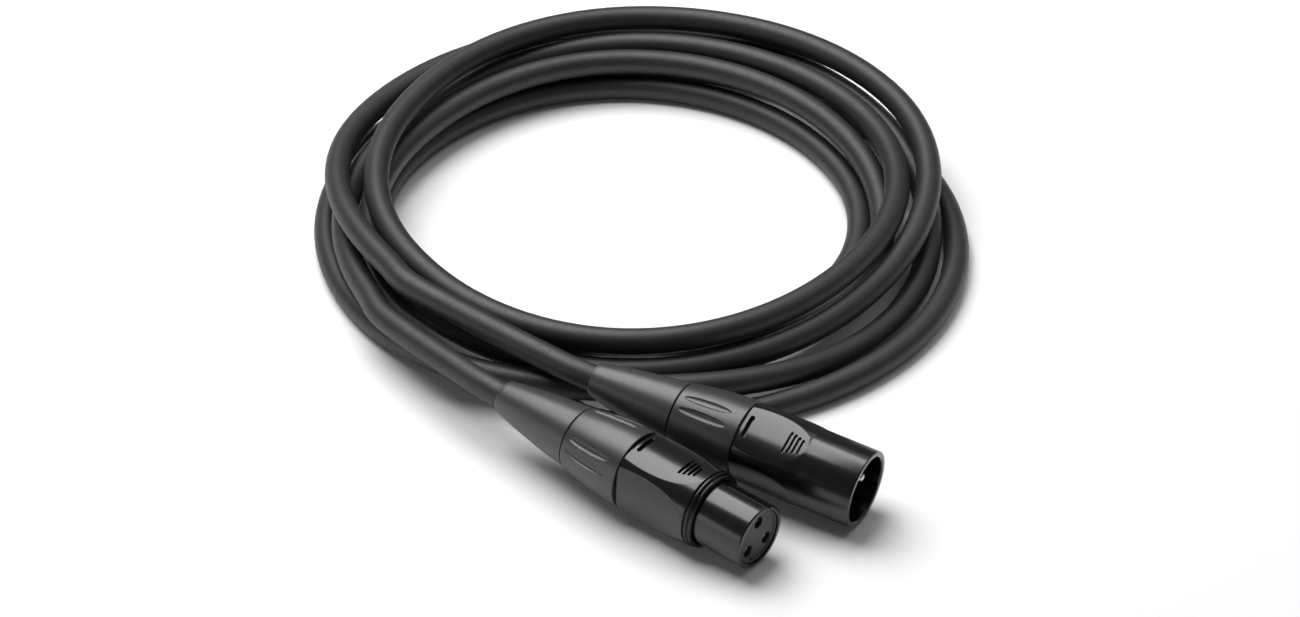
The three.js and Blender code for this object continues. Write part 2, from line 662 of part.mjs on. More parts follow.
function roundSection(radius, sides) {
  const corners = Array.from({ length: sides }, (_, i) => {
    const angle = (2 * Math.PI * (i + 0.5)) / sides;
    return new THREE.Vector2(radius * Math.cos(angle), radius * Math.sin(angle));
  });
  return new THREE.Shape(corners);
}

function tube(path, radius, sides, steps) {
  return closed(new THREE.ExtrudeGeometry(roundSection(radius, sides), { steps, extrudePath: path }));
}

// A wire from its solder cup to the end of the jacket.
function coreWire(number, hand, cupRear, shellEnd) {
  const { y, z } = contactPlace(number, hand);
  const gather = (2 * WIRE_DIAMETER) / CONTACT_CIRCLE;
  const end = jacketEnd(shellEnd) - SEAT_GAP;
  const path = new THREE.CatmullRomCurve3([
    new THREE.Vector3(-(cupRear - CUP_LENGTH + WIRE_CUP_ROOM), y, z),
    new THREE.Vector3(-(cupRear + CUP_COLLAR), y, z),
    new THREE.Vector3(-(end - 2 * WIRE_DIAMETER), y * gather, z * gather),
    new THREE.Vector3(-end, y * gather, z * gather),
  ], false, 'centripetal');
  return tube(path, WIRE_DIAMETER / 2, 6, 8);
}

function cordEndPieces(prefix, hand, shellEnd, cupRear, bushingTurn) {
  const jacket = rod(cordRadius, jacketEnd(shellEnd), cordMouth(shellEnd), 24);
  const wires = WIRES.map(({ core, color }, i) => {
    const wire = coreWire(i + 1, hand, cupRear, shellEnd);
    return piece(`${prefix}_wire_${core}`, wire, { color, roughness: 0.55, metalness: 0 });
  });
  return [
    piece(`${prefix}_bushing`, gripBushing(shellEnd, bushingTurn), MATTE_GREY),
    piece(`${prefix}_boot`, strainBoot(shellEnd), BOOT_RUBBER),
    piece(`${prefix}_cord_clamp`, cordClamp(shellEnd), CLAMP_NYLON),
    piece(`${prefix}_cable_end`, jacket, CORD_BLACK),
    ...wires,
  ];
}

// ---------------------------------------------------------------- connectors

function maleConnector() {
  const pins = [1, 2, 3].map((number) => (
    piece(`male_pin_${number}`, atContact(malePin(), number, MALE_HAND), SILVERED)
  ));
  const cupRear = MATING_DEPTH + INSERT_LENGTH + SEAT_GAP + CUP_LENGTH + CUP_COLLAR;
  return [
    piece('male_shell', maleShell(), SATIN_BLACK),
    piece('male_insert', maleInsert(), INSERT_BLACK),
    ...pins,
    piece('male_ground_contact', earthStrip(...maleStrip), SPRING_STEEL),
    ...cordEndPieces('male', MALE_HAND, MALE_SHELL_LENGTH, cupRear, MALE_POSE.bushingTurn),
  ];
}

function femaleConnector() {
  const sockets = [1, 2, 3].map((number) => (
    piece(`female_socket_${number}`, atContact(femaleSocket(), number, FEMALE_HAND), SILVERED)
  ));
  const pinLength = LATCH_WIDTH + 2 * (SEAT_GAP + EAR_THICKNESS);
  const cupRear = femaleInsertEnd + CUP_LENGTH + CUP_COLLAR;
  return [
    piece('female_shell', femaleShell(), SATIN_BLACK),
    piece('female_collar_ring', collarRing(), RING_BLACK),
    piece('female_insert', femaleInsert(), INSERT_BLACK),
    ...sockets,
    piece('female_latch', latchLever(), SATIN_BLACK),
    piece('female_latch_pin', closed(crossPin(LATCH_PIN_DIAMETER / 2, pinLength)), SPRING_STEEL),
    piece('female_latch_spring', latchSpring(), SPRING_STEEL),
    piece('female_ground_contact', earthStrip(...femaleStrip), SPRING_STEEL),
    ...cordEndPieces('female', FEMALE_HAND, FEMALE_SHELL_LENGTH, cupRear, FEMALE_POSE.bushingTurn),
  ];
}

// The connector turned to its heading, tilted nose down, rolled, and let down onto the plane z = 0.
function laidDown(pieces, pose) {
  const rolled = new THREE.Group().add(...pieces);
  rolled.rotation.x = radians(pose.roll);
  const tilted = new THREE.Group().add(rolled);
  tilted.rotation.y = radians(pose.tilt);
  const headed = new THREE.Group().add(tilted);
  headed.rotation.z = radians(pose.heading);
  headed.position.set(pose.x, pose.y, 0);
  headed.updateMatrixWorld(true);
  headed.position.z -= new THREE.Box3().setFromObject(headed, true).min.z;
  headed.updateMatrixWorld(true);
  headed.userData.place = (back, y, z) => rolled.localToWorld(new THREE.Vector3(-back, y, z));
  return headed;
}

// ---------------------------------------------------------------- the coil

// A smooth value between the stations, from the entry at the front through every turn. The cord arrives
// level and square at its last station, the fold.
function felt(entry, values, degrees) {
  const last = values.length - 1;
  const at = (i) => {
    if (i < 0) return entry;
    return i > last ? values[last - 1] : values[i];
  };
  const place = (degrees * TURN_STATIONS) / 360 - 1;
  const i = Math.min(Math.max(Math.floor(place), 0), last - 1);
  const f = place - i;
  const [a, b, c, d] = [at(i - 1), at(i), at(i + 1), at(i + 2)];
  return b + 0.5 * f * (c - a + f * (2 * a - 5 * b + 4 * c - d + f * (3 * (b - c) + d - a)));
}

function laidPoint(entry, turns, degrees) {
  const out = felt(entry.out, turns.flatMap((turn) => turn.out), degrees);
  const up = felt(entry.up, turns.flatMap((turn) => turn.up), degrees);
  const angle = radians(-90 - degrees);
  const x = COIL_CENTRE.x + out * Math.cos(angle);
  const y = COIL_CENTRE.y + out * Math.sin(angle);
  return new THREE.Vector3(x, y, up);
}

function lastOf(values) {
  return values[values.length - 1];
}

// The cord doubles back in a flat half circle at the front, between the ends of the two windings.
function foldPoints(steps) {
  const outer = lastOf(lastOf(MALE_TURNS).out);
  const inner = lastOf(lastOf(FEMALE_TURNS).out);
  const height = lastOf(lastOf(MALE_TURNS).up);
  const radius = (outer - inner) / 2;
  return Array.from({ length: steps - 1 }, (_, i) => {
    const angle = (Math.PI * (i + 1)) / steps;
    const x = COIL_CENTRE.x - radius * Math.sin(angle);
    const y = COIL_CENTRE.y - (outer + inner) / 2 - radius * Math.cos(angle);
    return new THREE.Vector3(x, y, height);
  });
}

function windingPoints(entry, turns, step) {
  const points = [];
  for (let degrees = 360 / TURN_STATIONS; degrees <= 360 * turns.length; degrees += step) {
    points.push(laidPoint(entry, turns, degrees));
  }
  return points;
}

// The coil from the male connector's lead to the female connector's lead, with a short straight run at
// each end.
function coilPoints(step, foldSteps) {
  const male = windingPoints(MALE_ENTRY, MALE_TURNS, step);
  const female = windingPoints(FEMALE_ENTRY, FEMALE_TURNS, step).reverse();
  const points = [...male, ...foldPoints(foldSteps), ...female];
  const before = points[0].clone().sub(points[1]).setLength(CORD_DIAMETER);
  const after = lastOf(points).clone().sub(points[points.length - 2]).setLength(CORD_DIAMETER);
  return [points[0].clone().add(before), ...points, lastOf(points).clone().add(after)];
}

// A faceted tube through the points, with one corner of each ring pointing straight down.
function facetedTube(points, radius, sides) {
  const vertices = [];
  const triangles = [];
  const up = new THREE.Vector3(0, 0, 1);
  points.forEach((point, i) => {
    const ahead = points[Math.min(i + 1, points.length - 1)];
    const behind = points[Math.max(i - 1, 0)];
    const along = ahead.clone().sub(behind).normalize();
    const side = along.clone().cross(up).normalize();
    const top = side.clone().cross(along);
    for (let k = 0; k < sides; k += 1) {
      const angle = (2 * Math.PI * k) / sides - Math.PI / 2;
      const corner = point.clone();
      corner.addScaledVector(side, radius * Math.cos(angle)).addScaledVector(top, radius * Math.sin(angle));
      vertices.push(corner.x, corner.y, corner.z);
    }
  });
  for (let i = 0; i + 1 < points.length; i += 1) {
    for (let k = 0; k < sides; k += 1) {
      const [a, b] = [i * sides + k, i * sides + ((k + 1) % sides)];
      triangles.push(a, b, a + sides, b, b + sides, a + sides);
    }
  }
  const end = (points.length - 1) * sides;
  for (let k = 1; k + 1 < sides; k += 1) {
    triangles.push(0, k + 1, k, end, end + k, end + k + 1);
  }
  const geometry = new THREE.BufferGeometry();
  geometry.setAttribute('position', new THREE.Float32BufferAttribute(vertices, 3));
  geometry.setIndex(triangles);
  return closed(geometry);
}

function cableCoil() {
  const points = coilPoints(360 / RINGS_PER_TURN, FOLD_STEPS);
  const below = new THREE.BoxGeometry(400, 400, 10).translate(COIL_CENTRE.x, COIL_CENTRE.y, -5);
  return shaped(facetedTube(points, cordRadius, CORD_SIDES), { removed: [below] });
}

// The least clear distance between stretches of the laid cord that aren't neighbours along it.
function leastGap(points) {
  const lengths = points.map(() => 0);
  for (let i = 1; i < points.length; i += 1) {
    lengths[i] = lengths[i - 1] + points[i].distanceTo(points[i - 1]);
  }
  let least = Infinity;
  for (let i = 0; i < points.length; i += 1) {
    for (let j = i + 1; j < points.length; j += 1) {
      if (lengths[j] - lengths[i] < 5 * CORD_DIAMETER) continue;
      least = Math.min(least, points[i].distanceTo(points[j]));
    }
  }
  return { gap: least - CORD_DIAMETER, length: lastOf(lengths) };
}

// ---------------------------------------------------------------- leads

// The free stretch from a boot's mouth to the coil: straight out, over in an easy bend, and straight in.
function leadPath(connector, shellEnd, coilEnd, coilNext) {
  const mouth = cordMouth(shellEnd);
  const inward = coilEnd.clone().sub(coilNext).normalize();
  return new THREE.CatmullRomCurve3([
    connector.userData.place(mouth + SEAT_GAP, 0, 0),
    connector.userData.place(mouth + STRAIGHT_END / 2, 0, 0),
    connector.userData.place(mouth + STRAIGHT_END, 0, 0),
    coilEnd.clone().addScaledVector(inward, STRAIGHT_END),
    coilEnd.clone().addScaledVector(inward, STRAIGHT_END / 2),
    coilEnd.clone().addScaledVector(inward, SEAT_GAP),
  ], false, 'centripetal');
}

function lead(path) {
  return tube(path, cordRadius, LEAD_SIDES, Math.ceil(path.getLength() / (1.6 * CORD_DIAMETER)));
}

// ---------------------------------------------------------------- assembly

const male = laidDown(maleConnector(), MALE_POSE);
const female = laidDown(femaleConnector(), FEMALE_POSE);
const laid = coilPoints(360 / RINGS_PER_TURN, FOLD_STEPS);
const malePath = leadPath(male, MALE_SHELL_LENGTH, laid[0], laid[1]);
const femalePath = leadPath(female, FEMALE_SHELL_LENGTH, lastOf(laid), laid[laid.length - 2]);

const cable = new THREE.Group();
cable.add(male, female);
cable.add(piece('cable_coil', cableCoil(), CORD_BLACK));
cable.add(piece('cable_lead_male', lead(malePath), CORD_BLACK));
cable.add(piece('cable_lead_female', lead(femalePath), CORD_BLACK));

const footprint = new THREE.Box3().setFromObject(male, true);
footprint.union(new THREE.Box3().setFromObject(female, true));
const middle = footprint.getCenter(new THREE.Vector3());
cable.position.set(-middle.x, -middle.y, 0);
cable.updateMatrixWorld(true);

const fine = leastGap(coilPoints(2.5, 24));
console.log(`least gap of the coiled cord to itself ${fine.gap.toFixed(2)} mm`);
console.log(`coiled length ${fine.length.toFixed(0)} mm, leads ${malePath.getLength().toFixed(0)} mm `
  + `and ${femalePath.getLength().toFixed(0)} mm`);
const coilCentre = cable.localToWorld(new THREE.Vector3(COIL_CENTRE.x, COIL_CENTRE.y, 0));
console.log(`coil centre at ${coilCentre.x.toFixed(2)}, ${coilCentre.y.toFixed(2)}`);

export default cable;
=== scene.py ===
# Looks of a balanced microphone cable: its cord laid in a coil, two finely modelled connectors, materials,
# light and camera. Sizes are in millimetres until a mesh is made. A back is a distance behind a mating face,
# and a connector's own frame has that face at x = 0, its rear towards -X and its upper contact towards +Z.
import json
import math

import bmesh
import bpy
import numpy as np
from mathutils import Matrix, Vector


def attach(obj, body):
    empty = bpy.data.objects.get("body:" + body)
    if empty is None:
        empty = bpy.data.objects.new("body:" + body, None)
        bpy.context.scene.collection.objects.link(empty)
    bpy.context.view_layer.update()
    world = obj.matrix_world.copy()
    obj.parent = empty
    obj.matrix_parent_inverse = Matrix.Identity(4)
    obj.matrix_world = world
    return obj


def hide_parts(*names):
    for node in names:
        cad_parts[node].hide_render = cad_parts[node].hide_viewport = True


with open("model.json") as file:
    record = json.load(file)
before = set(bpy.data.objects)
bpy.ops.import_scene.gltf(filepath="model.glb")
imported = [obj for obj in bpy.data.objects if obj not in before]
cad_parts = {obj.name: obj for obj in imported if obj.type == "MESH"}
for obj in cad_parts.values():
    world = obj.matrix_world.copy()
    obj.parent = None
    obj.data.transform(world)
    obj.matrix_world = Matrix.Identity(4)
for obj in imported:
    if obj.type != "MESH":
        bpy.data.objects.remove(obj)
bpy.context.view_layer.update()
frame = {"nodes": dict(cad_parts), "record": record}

MM = 0.001
TAU = 2 * math.pi
SAME_PLACE = 0.001  # corners nearer than this are one corner

# ---------------------------------------------------------------- sizes

# Fits and edges
SEAT_GAP = 0.3
MATING_CLEARANCE = 0.15
OVERRUN = 1  # how far a cutter runs past the skin it opens
EDGE_LENGTH = 0.3  # how much of a body's length its rounded edge takes
SHARP_DEGREES = 40  # faces that meet at more than this keep a hard edge
INSERT_SHARP_DEGREES = 30

# Cord
CORD_RADIUS = 3.25
STRAIGHT_END = 7
END_INSIDE_BOOT = 2

# Mating interface
NOSE_RADIUS = 7.95
NOSE_BORE = 6.9
NOSE_LENGTH = 13.2
NOSE_MOUTH_EDGE = 0.15
NOSE_FACE_RADIUS = 7.2
BARREL_RADIUS = 9.525
BARREL_BORE = NOSE_RADIUS + MATING_CLEARANCE
BARREL_LENGTH = 14.6
BARREL_STEP = 0.4  # the step up to the waist reaches this far to either side of the barrel's end
BARREL_MOUTH_EDGE = 0.3
BARREL_MOUTH_LENGTH = 1
BARREL_RIM_RADIUS = 8.9
MATING_DEPTH = 13.8
CONTACT_CIRCLE_RADIUS = 4.1
CONTACT_SPREAD = 125  # degrees from the upper contact to either lower one
PIN_RADIUS = 1.2
PIN_RECESS = 2.6
PIN_TIP = [(0.25, 0), (0.85, 0.12), (PIN_RADIUS, 0.8)]  # radius and distance behind its end
PIN_REAR = 25.5
PIN_CUP_RADIUS = 1.7
PIN_CUP_REAR = 30.1
PIN_CUP_BORE = 0.9
SOCKET_RADIUS = 1.8
SOCKET_RECESS = 1.9
SOCKET_FRONT_GAP = 0.02
SOCKET_CLEARANCE = 0.05
SOCKET_MOUTH = (0.1, 0.08)  # how far its bore widens in front, and over what length
SOCKET_BORE_END = 13
SOCKET_REAR = 26
SOCKET_CORE = 0.6
SOCKET_CUP_BORE = 1.0
SOCKET_CUP_DEPTH = 2
CONTACT_HOLE_CLEARANCE = 0.25
HOLE_FUNNEL = 0.3
HOLE_FUNNEL_INSET = 0.05
KEY_ANGLE = -20  # degrees from the upper contact
KEY_HALF_WIDTH = 0.8
KEY_HEIGHT = 0.6
KEY_STEP = 0.05  # the length over which a key's end face rises
KEYWAY_SPARE = 1.3
CATCH_BACK = 10.2

# Inserts. A rim round the face is given by its width, the width of its slope and its height.
INSERT_LENGTH = 11.4
INSERT_GAP = 0.1
INSERT_RIM = (1.4, 0.2, 0.3)
FEMALE_INSERT_FRONT = 0.4
FEMALE_INSERT_REAR = 23.7
FEMALE_INSERT_RIM = (0.75, 0.15, 0.25)
INSERT_BACK_EDGE = 0.5
CHANNEL_FRONT = 2.1

# Both shells
SHELL_REAR_RADIUS = 9.85
SHELL_BULGE = 0.35
SEAM_RADIUS = 9.4
REAR_BORE = 6.6
SPIGOT_RADIUS = 7.4
SPIGOT_LENGTH = 7.9

# The four crowned pads, and the finger grooves across the upper one
PADS = 4
CROWN_RADIUS = 18
CROWN_FRONT = 14
PAD_REACH = TAU / 6
PAD_TIP_DEPTH = 0.12
PAD_CURVE = 3.5
PAD_EDGE = 0.09
GROOVE_HALF_WIDTH = 0.3
GROOVE_DEPTH = 0.85
GROOVE_PITCH = 1.15
GROOVE_EDGE = (-0.1, 0.06)  # where a groove's wall ends inside its outline and starts outside it
REAR_GROOVE_LENGTH = 5.8
REAR_GROOVE_HALF_WIDTH = 0.5
REAR_GROOVE_DEPTH = 1.5
REAR_GROOVE_INSET = 1.4

# The female shell's lip over the collar ring, and the ring's own lips as radius and distance behind its front
LIP_BORE = 8.95
LIP_REAR = 17.5
LIP_EDGE = 0.4
COLLAR_LENGTH = 4
COLLAR_LIPS = [(8.85, 0), (9.15, 0.3), (9.15, 0.65), (8.85, 0.85), (8.85, 1), (9.4, 1.3)]

# Bushing and boot. A lean is how much a wall widens over a short run next to its rounded edge.
BUSHING_LENGTH = 17.3
BUSHING_FRONT_RADIUS = 9.8
BUSHING_RIM_RADIUS = 9.2
BUSHING_FRONT_LEAN = 0.03
BUSHING_REAR_RADIUS = 7.95
BUSHING_BULGE = 0.4
BUSHING_BORE = 6.3
BUSHING_WALL_INSET = 0.35
GRIP_GROUPS = 4
GRIP_HALF_LENGTH = 6.3
GRIP_HALF_WIDTH = 1.0
GRIP_DEPTH = 0.55
GRIP_SPACING = 22
GRIP_FROM_REAR = 7.8
BOOT_LENGTH = 23.5
BOOT_SHOULDER_INSET = 0.15
BOOT_SHOULDER_LEAN = 0.02
BOOT_MOUTH_RADIUS = 4.2
BOOT_BORE_CLEARANCE = 0.08
BOOT_BULGE = 0.3
BOOT_PLUG_LENGTH = 6
BOOT_MOUTH_EDGE = 0.4
BOOT_WALL_INSETS = (0.4, 0.5)
BOOT_STEP = 0.5
FRONT_RUN = 0.5
REAR_LEAN = 0.05

# Latch
LATCH_HALF_WIDTH = 1.6
LATCH_INNER = 5.5
LATCH_OUTER = 6.4
LATCH_PIVOT_BACK = 33
LATCH_REAR_TAPER = 0.3
LATCH_TRAVEL_ROOM = 1.4
LATCH_ROUNDING = 0.12
HOOK_LENGTH = 2.3
HOOK_REAR = MATING_DEPTH - CATCH_BACK + HOOK_LENGTH / 2
HOOK_FRONT = HOOK_REAR - HOOK_LENGTH
HOOK_REACH = 0.8
HOOK_TIP = 0.5
HOOK_RAMP = 1.3
BUTTON_FRONT = 19
BUTTON_REAR = 24
BUTTON_DROP = 9.3
BUTTON_CORNER = 0.3
BUTTON_ROOT = 1.2
RIDGES = 3
RIDGE_PITCH = 1.4
RIDGE_HALF_WIDTH = 0.35
RIDGE_DEPTH = 0.4
RIDGES_FROM_REAR = 1.1

# How the connectors and the coil lie. Their places are measured from the middle of the photograph, at which
# the camera aims, and a face is the middle of a mating face with its height. The male connector meets the
# female one face to face, so that its hand is the other one.
PHOTO_MIDDLE = (-8.9043, 78.4307)
MALE = {
    "name": "male", "hand": -1, "length": 31.4, "body_front": 15.1, "waist": 9.65,
    "apex": 14.6, "pad_depth": 0.75, "grooves": [5.6, 5.2, 4.6, 3.8], "first_groove": 19.3,
    "face": (49.9, -86.6, 9.4665), "heading": -29.3, "tilt": 4.8, "roll": 27, "bushing_turn": 3,
}
FEMALE = {
    "name": "female", "hand": 1, "length": 35.7, "body_front": 15.4, "waist": 9.5,
    "apex": 16.2, "pad_depth": 1.0, "grooves": [6, 5.4, 4.6, 3.6], "first_groove": 22,
    "face": (25, -103.2, 8.5533), "heading": -39.2, "tilt": 3.2, "roll": 0, "bushing_turn": -27,
}

# The cord's stations lie every 60 degrees, clockwise from above and from the front: how far out from the
# coil's middle the middle of the cord lies there, and how far up.
COIL_CENTRE = (-6.6, 32)
MALE_ENTRY = (78, 15.5)
MALE_OUT = [69, 78.5, 87, 78.5, 78.5, 79.5, 75, 78, 78.5, 81.5, 86.5, 84]
MALE_UP = [17.5, 12, 8.5, 9.5, 3, 10, 3, 3, 3, 2.5, 3, 2.5]
FEMALE_ENTRY = (94, 17)
FEMALE_OUT = [
    74, 71.5, 76, 72.5, 67, 68, 62, 66.5, 81.5, 82, 72.5, 72,
    66, 63.5, 69, 66, 66, 62, 62.5, 65, 68, 62.5, 58, 51,
]
FEMALE_UP = [
    10, 7.5, 11.5, 13.5, 15.5, 15.5, 16.5, 17.5, 16.5, 16, 10.5, 9.5,
    10, 10, 10.5, 10, 5, 10.5, 3.5, 3, 3, 3, 3, 2.5,
]
STATION_DEGREES = 60
STEP_DEGREES = 3
FOLD_STEPS = 14
LEAD_STEP = 3

# How finely the meshes are divided
AROUND = 480
ALONG = 0.1
GRIP_ALONG = 1.5 * ALONG
CORD_SIDES = 24
PLAIN_AROUND = 240
INSERT_AROUND = 160
PIN_AROUND = 48
HOLE_AROUND = 40

# ---------------------------------------------------------------- camera

CAMERA_DISTANCE = 1000
CAMERA_ELEVATION = math.radians(35)
SENSOR_WIDTH = 36
PHOTO_WIDTH_PIXELS = 1300
FOCAL_LENGTH_PIXELS = 4000
NEAREST_SEEN = 10


def add_camera():
    data = bpy.data.cameras.new("camera")
    data.sensor_width = SENSOR_WIDTH
    data.lens = SENSOR_WIDTH * FOCAL_LENGTH_PIXELS / PHOTO_WIDTH_PIXELS
    data.clip_start = NEAREST_SEEN * MM
    camera = bpy.data.objects.new("camera", data)
    away = Vector((0, -math.cos(CAMERA_ELEVATION), math.sin(CAMERA_ELEVATION)))
    camera.location = (Vector((*PHOTO_MIDDLE, 0)) + CAMERA_DISTANCE * away) * MM
    camera.rotation_euler = (math.pi / 2 - CAMERA_ELEVATION, 0, 0)
    bpy.context.collection.objects.link(camera)
    bpy.context.scene.camera = camera


# ---------------------------------------------------------------- profiles and angles


def softened(profile, rounding, steps=4):
    """A profile of (radius, back) with every inner corner rounded."""
    points = [np.array(p, float) for p in profile]
    rows = [tuple(points[0])]
    for before, corner, after in zip(points, points[1:], points[2:]):
        reach_in = min(rounding, np.linalg.norm(corner - before) / 2)
        reach_out = min(rounding, np.linalg.norm(after - corner) / 2)
        start = corner + (before - corner) * reach_in / np.linalg.norm(before - corner)
        stop = corner + (after - corner) * reach_out / np.linalg.norm(after - corner)
        for t in np.linspace(0, 1, steps + 1):
            rows.append(tuple((1 - t) ** 2 * start + 2 * t * (1 - t) * corner + t * t * stop))
    rows.append(tuple(points[-1]))
    return rows[:1] + [row for before, row in zip(rows, rows[1:]) if math.dist(before, row) > SAME_PLACE]


def smoothstep(low, high, value):
    share = np.clip((value - low) / (high - low), 0, 1)
    return share * share * (3 - 2 * share)


def soft_min(a, b, blend):
    share = np.clip(0.5 + 0.5 * (b - a) / blend, 0, 1)
    return b + (a - b) * share - blend * share * (1 - share)


def swell(back, front, rear, front_radius, rear_radius, bulge):
    """The radius of a gently swelling wall."""
    share = np.clip((back - front) / (rear - front), 0, 1)
    return front_radius + (rear_radius - front_radius) * share + 4 * bulge * share * (1 - share)


def stations(front, rear, step):
    return np.linspace(front, rear, max(2, int(round((rear - front) / step)) + 1))


def turned_angles(around=AROUND):
    return np.arange(around) * TAU / around


def turn_from(angles, centre):
    """How far round from the centre each angle lies, up to half a turn to either side."""
    return (angles - centre + math.pi) % TAU - math.pi


# ---------------------------------------------------------------- mesh helpers


def connector_matrix(end):
    turn = Matrix.Rotation(math.radians(end["heading"]), 4, "Z")
    turn @= Matrix.Rotation(math.radians(end["tilt"]), 4, "Y")
    turn @= Matrix.Rotation(math.radians(end["roll"]), 4, "X")
    return Matrix.Translation((Vector((*PHOTO_MIDDLE, 0)) + Vector(end["face"])) * MM) @ turn


def facing_out(vertices, faces):
    """The faces of a closed body, all turned over if they face inwards."""
    corners = vertices - vertices.mean(0)
    triangles = np.array([(face[0], i, k) for face in faces for i, k in zip(face[1:], face[2:])])
    a, b, c = (corners[triangles[:, i]] for i in range(3))
    return faces if np.sum(a * np.cross(b, c)) > 0 else [face[::-1] for face in faces]


def shade(mesh, sharp_degrees=SHARP_DEGREES):
    mesh.polygons.foreach_set("use_smooth", [True] * len(mesh.polygons))
    mesh.set_sharp_from_angle(angle=math.radians(sharp_degrees))


def mesh_piece(name, vertices, faces, end=None):
    """A closed mesh from corners in millimetres, in a connector's own frame where an end is given."""
    vertices = np.array(vertices, float)
    mesh = bpy.data.meshes.new(name)
    mesh.from_pydata((vertices * MM).tolist(), [], facing_out(vertices, faces))
    mesh.validate()
    mesh.update()
    shade(mesh)
    piece = bpy.data.objects.new(name, mesh)
    bpy.context.collection.objects.link(piece)
    if end:
        piece.matrix_world = connector_matrix(end)
    return piece


def ring_faces(rows, around, closed):
    """The quads between neighbouring rows of corners, and from the last row back to the first if closed."""
    faces = []
    for i in range(rows if closed else rows - 1):
        here, there = i * around, ((i + 1) % rows) * around
        for j in range(around):
            k = (j + 1) % around
            faces.append((here + j, here + k, there + k, there + j))
    return faces


def turned(name, rows, end, around=AROUND):
    """A ring round the connector's axis. A row is (radius, back), each one number or one per angle."""
    angles = turned_angles(around)
    sheets = []
    for radius, back in rows:
        radius = np.broadcast_to(np.asarray(radius, float), angles.shape)
        back = np.broadcast_to(np.asarray(back, float), angles.shape)
        sheets.append(np.stack([-back, -np.sin(angles) * radius, np.cos(angles) * radius], 1))
    return mesh_piece(name, np.concatenate(sheets), ring_faces(len(rows), around, True), end)


def turned_solid(name, rows, end, around):
    """The same for a body without a bore: its first and last rows close in a fan."""
    angles = turned_angles(around)
    vertices = [(-rows[0][1], 0, 0)]
    for radius, back in rows:
        vertices.extend(zip([-back] * around, -np.sin(angles) * radius, np.cos(angles) * radius))
    vertices.append((-rows[-1][1], 0, 0))
    faces = [tuple(1 + i for i in face) for face in ring_faces(len(rows), around, False)]
    last = len(vertices) - 1
    for j in range(around):
        k = (j + 1) % around
        faces.append((0, 1 + k, 1 + j))
        faces.append((last, last - around + j, last - around + k))
    return mesh_piece(name, vertices, faces, end)


def block(name, front, rear, half_width, low, high, end):
    corners = [(-b, y, z) for b in (front, rear) for y in (-half_width, half_width) for z in (low, high)]
    faces = [(0, 1, 3, 2), (4, 6, 7, 5), (0, 4, 5, 1), (2, 3, 7, 6), (0, 2, 6, 4), (1, 5, 7, 3)]
    return mesh_piece(name, corners, faces, end)


def side_plate(name, outline, half_width, end, rounding):
    """A plate drawn in side view as (back, height), with its edges rounded."""
    count = len(outline)
    vertices = [(-b, y, z) for y in (-half_width, half_width) for b, z in outline]
    faces = [tuple(range(count)), tuple(reversed(range(count, 2 * count)))]
    for i in range(count):
        k = (i + 1) % count
        faces.append((i, i + count, k + count, k))
    plate = mesh_piece(name, vertices, faces, end)
    bevel = plate.modifiers.new("edges", "BEVEL")
    bevel.width = rounding * MM
    bevel.segments = 3
    bevel.limit_method = "ANGLE"
    work_in(plate)
    return plate


def work_in(piece):
    """Puts the piece's modifiers into its mesh."""
    graph = bpy.context.evaluated_depsgraph_get()
    graph.update()
    mesh = bpy.data.meshes.new_from_object(piece.evaluated_get(graph))
    piece.modifiers.clear()
    old = piece.data
    piece.data = mesh
    bpy.data.meshes.remove(old)


def weld(mesh):
    """Joins corners that lie in one place and drops faces without area."""
    body = bmesh.new()
    body.from_mesh(mesh)
    bmesh.ops.remove_doubles(body, verts=body.verts, dist=SAME_PLACE * MM)
    bmesh.ops.dissolve_degenerate(body, dist=SAME_PLACE * MM, edges=body.edges)
    body.to_mesh(mesh)
    body.free()


def cut(piece, cutters, sharp_degrees=SHARP_DEGREES):
    for cutter in cutters:
        modifier = piece.modifiers.new("cut", "BOOLEAN")
        modifier.operation = "DIFFERENCE"
        modifier.solver = "EXACT"
        modifier.object = cutter
    work_in(piece)
    for cutter in cutters:
        mesh = cutter.data
        bpy.data.objects.remove(cutter)
        bpy.data.meshes.remove(mesh)
    weld(piece.data)
    shade(piece.data, sharp_degrees)
    return piece


# ---------------------------------------------------------------- the cord


def between_stations(entry, values, degrees):
    """A smooth curve through the entry and the stations' values, read at an angle."""
    last = len(values) - 1

    def at(i):
        if i < 0:
            return entry
        return values[last - 1] if i > last else values[i]

    place = degrees / STATION_DEGREES - 1
    i = min(max(math.floor(place), 0), last - 1)
    f = place - i
    a, b, c, d = at(i - 1), at(i), at(i + 1), at(i + 2)
    return b + 0.5 * f * (c - a + f * (2 * a - 5 * b + 4 * c - d + f * (3 * (b - c) + d - a)))


def coil_place(degrees, out, up):
    """A place in the coil, its angle counted clockwise from the front."""
    angle = math.radians(-90 - degrees)
    x = PHOTO_MIDDLE[0] + COIL_CENTRE[0] + out * math.cos(angle)
    y = PHOTO_MIDDLE[1] + COIL_CENTRE[1] + out * math.sin(angle)
    return np.array((x, y, up))


def winding(entry, outs, ups):
    places = []
    for degrees in range(STATION_DEGREES, STATION_DEGREES * len(outs) + 1, STEP_DEGREES):
        out = between_stations(entry[0], outs, degrees)
        up = between_stations(entry[1], ups, degrees)
        places.append(coil_place(degrees, out, up))
    return places


def fold():
    """The flat half circle at the front where the cord doubles back between the two windings."""
    outer, inner = MALE_OUT[-1], FEMALE_OUT[-1]
    radius = (outer - inner) / 2
    middle = coil_place(0, (outer + inner) / 2, MALE_UP[-1])
    angles = [math.pi * step / FOLD_STEPS for step in range(1, FOLD_STEPS)]
    return [middle - radius * np.array((math.sin(angle), math.cos(angle), 0)) for angle in angles]


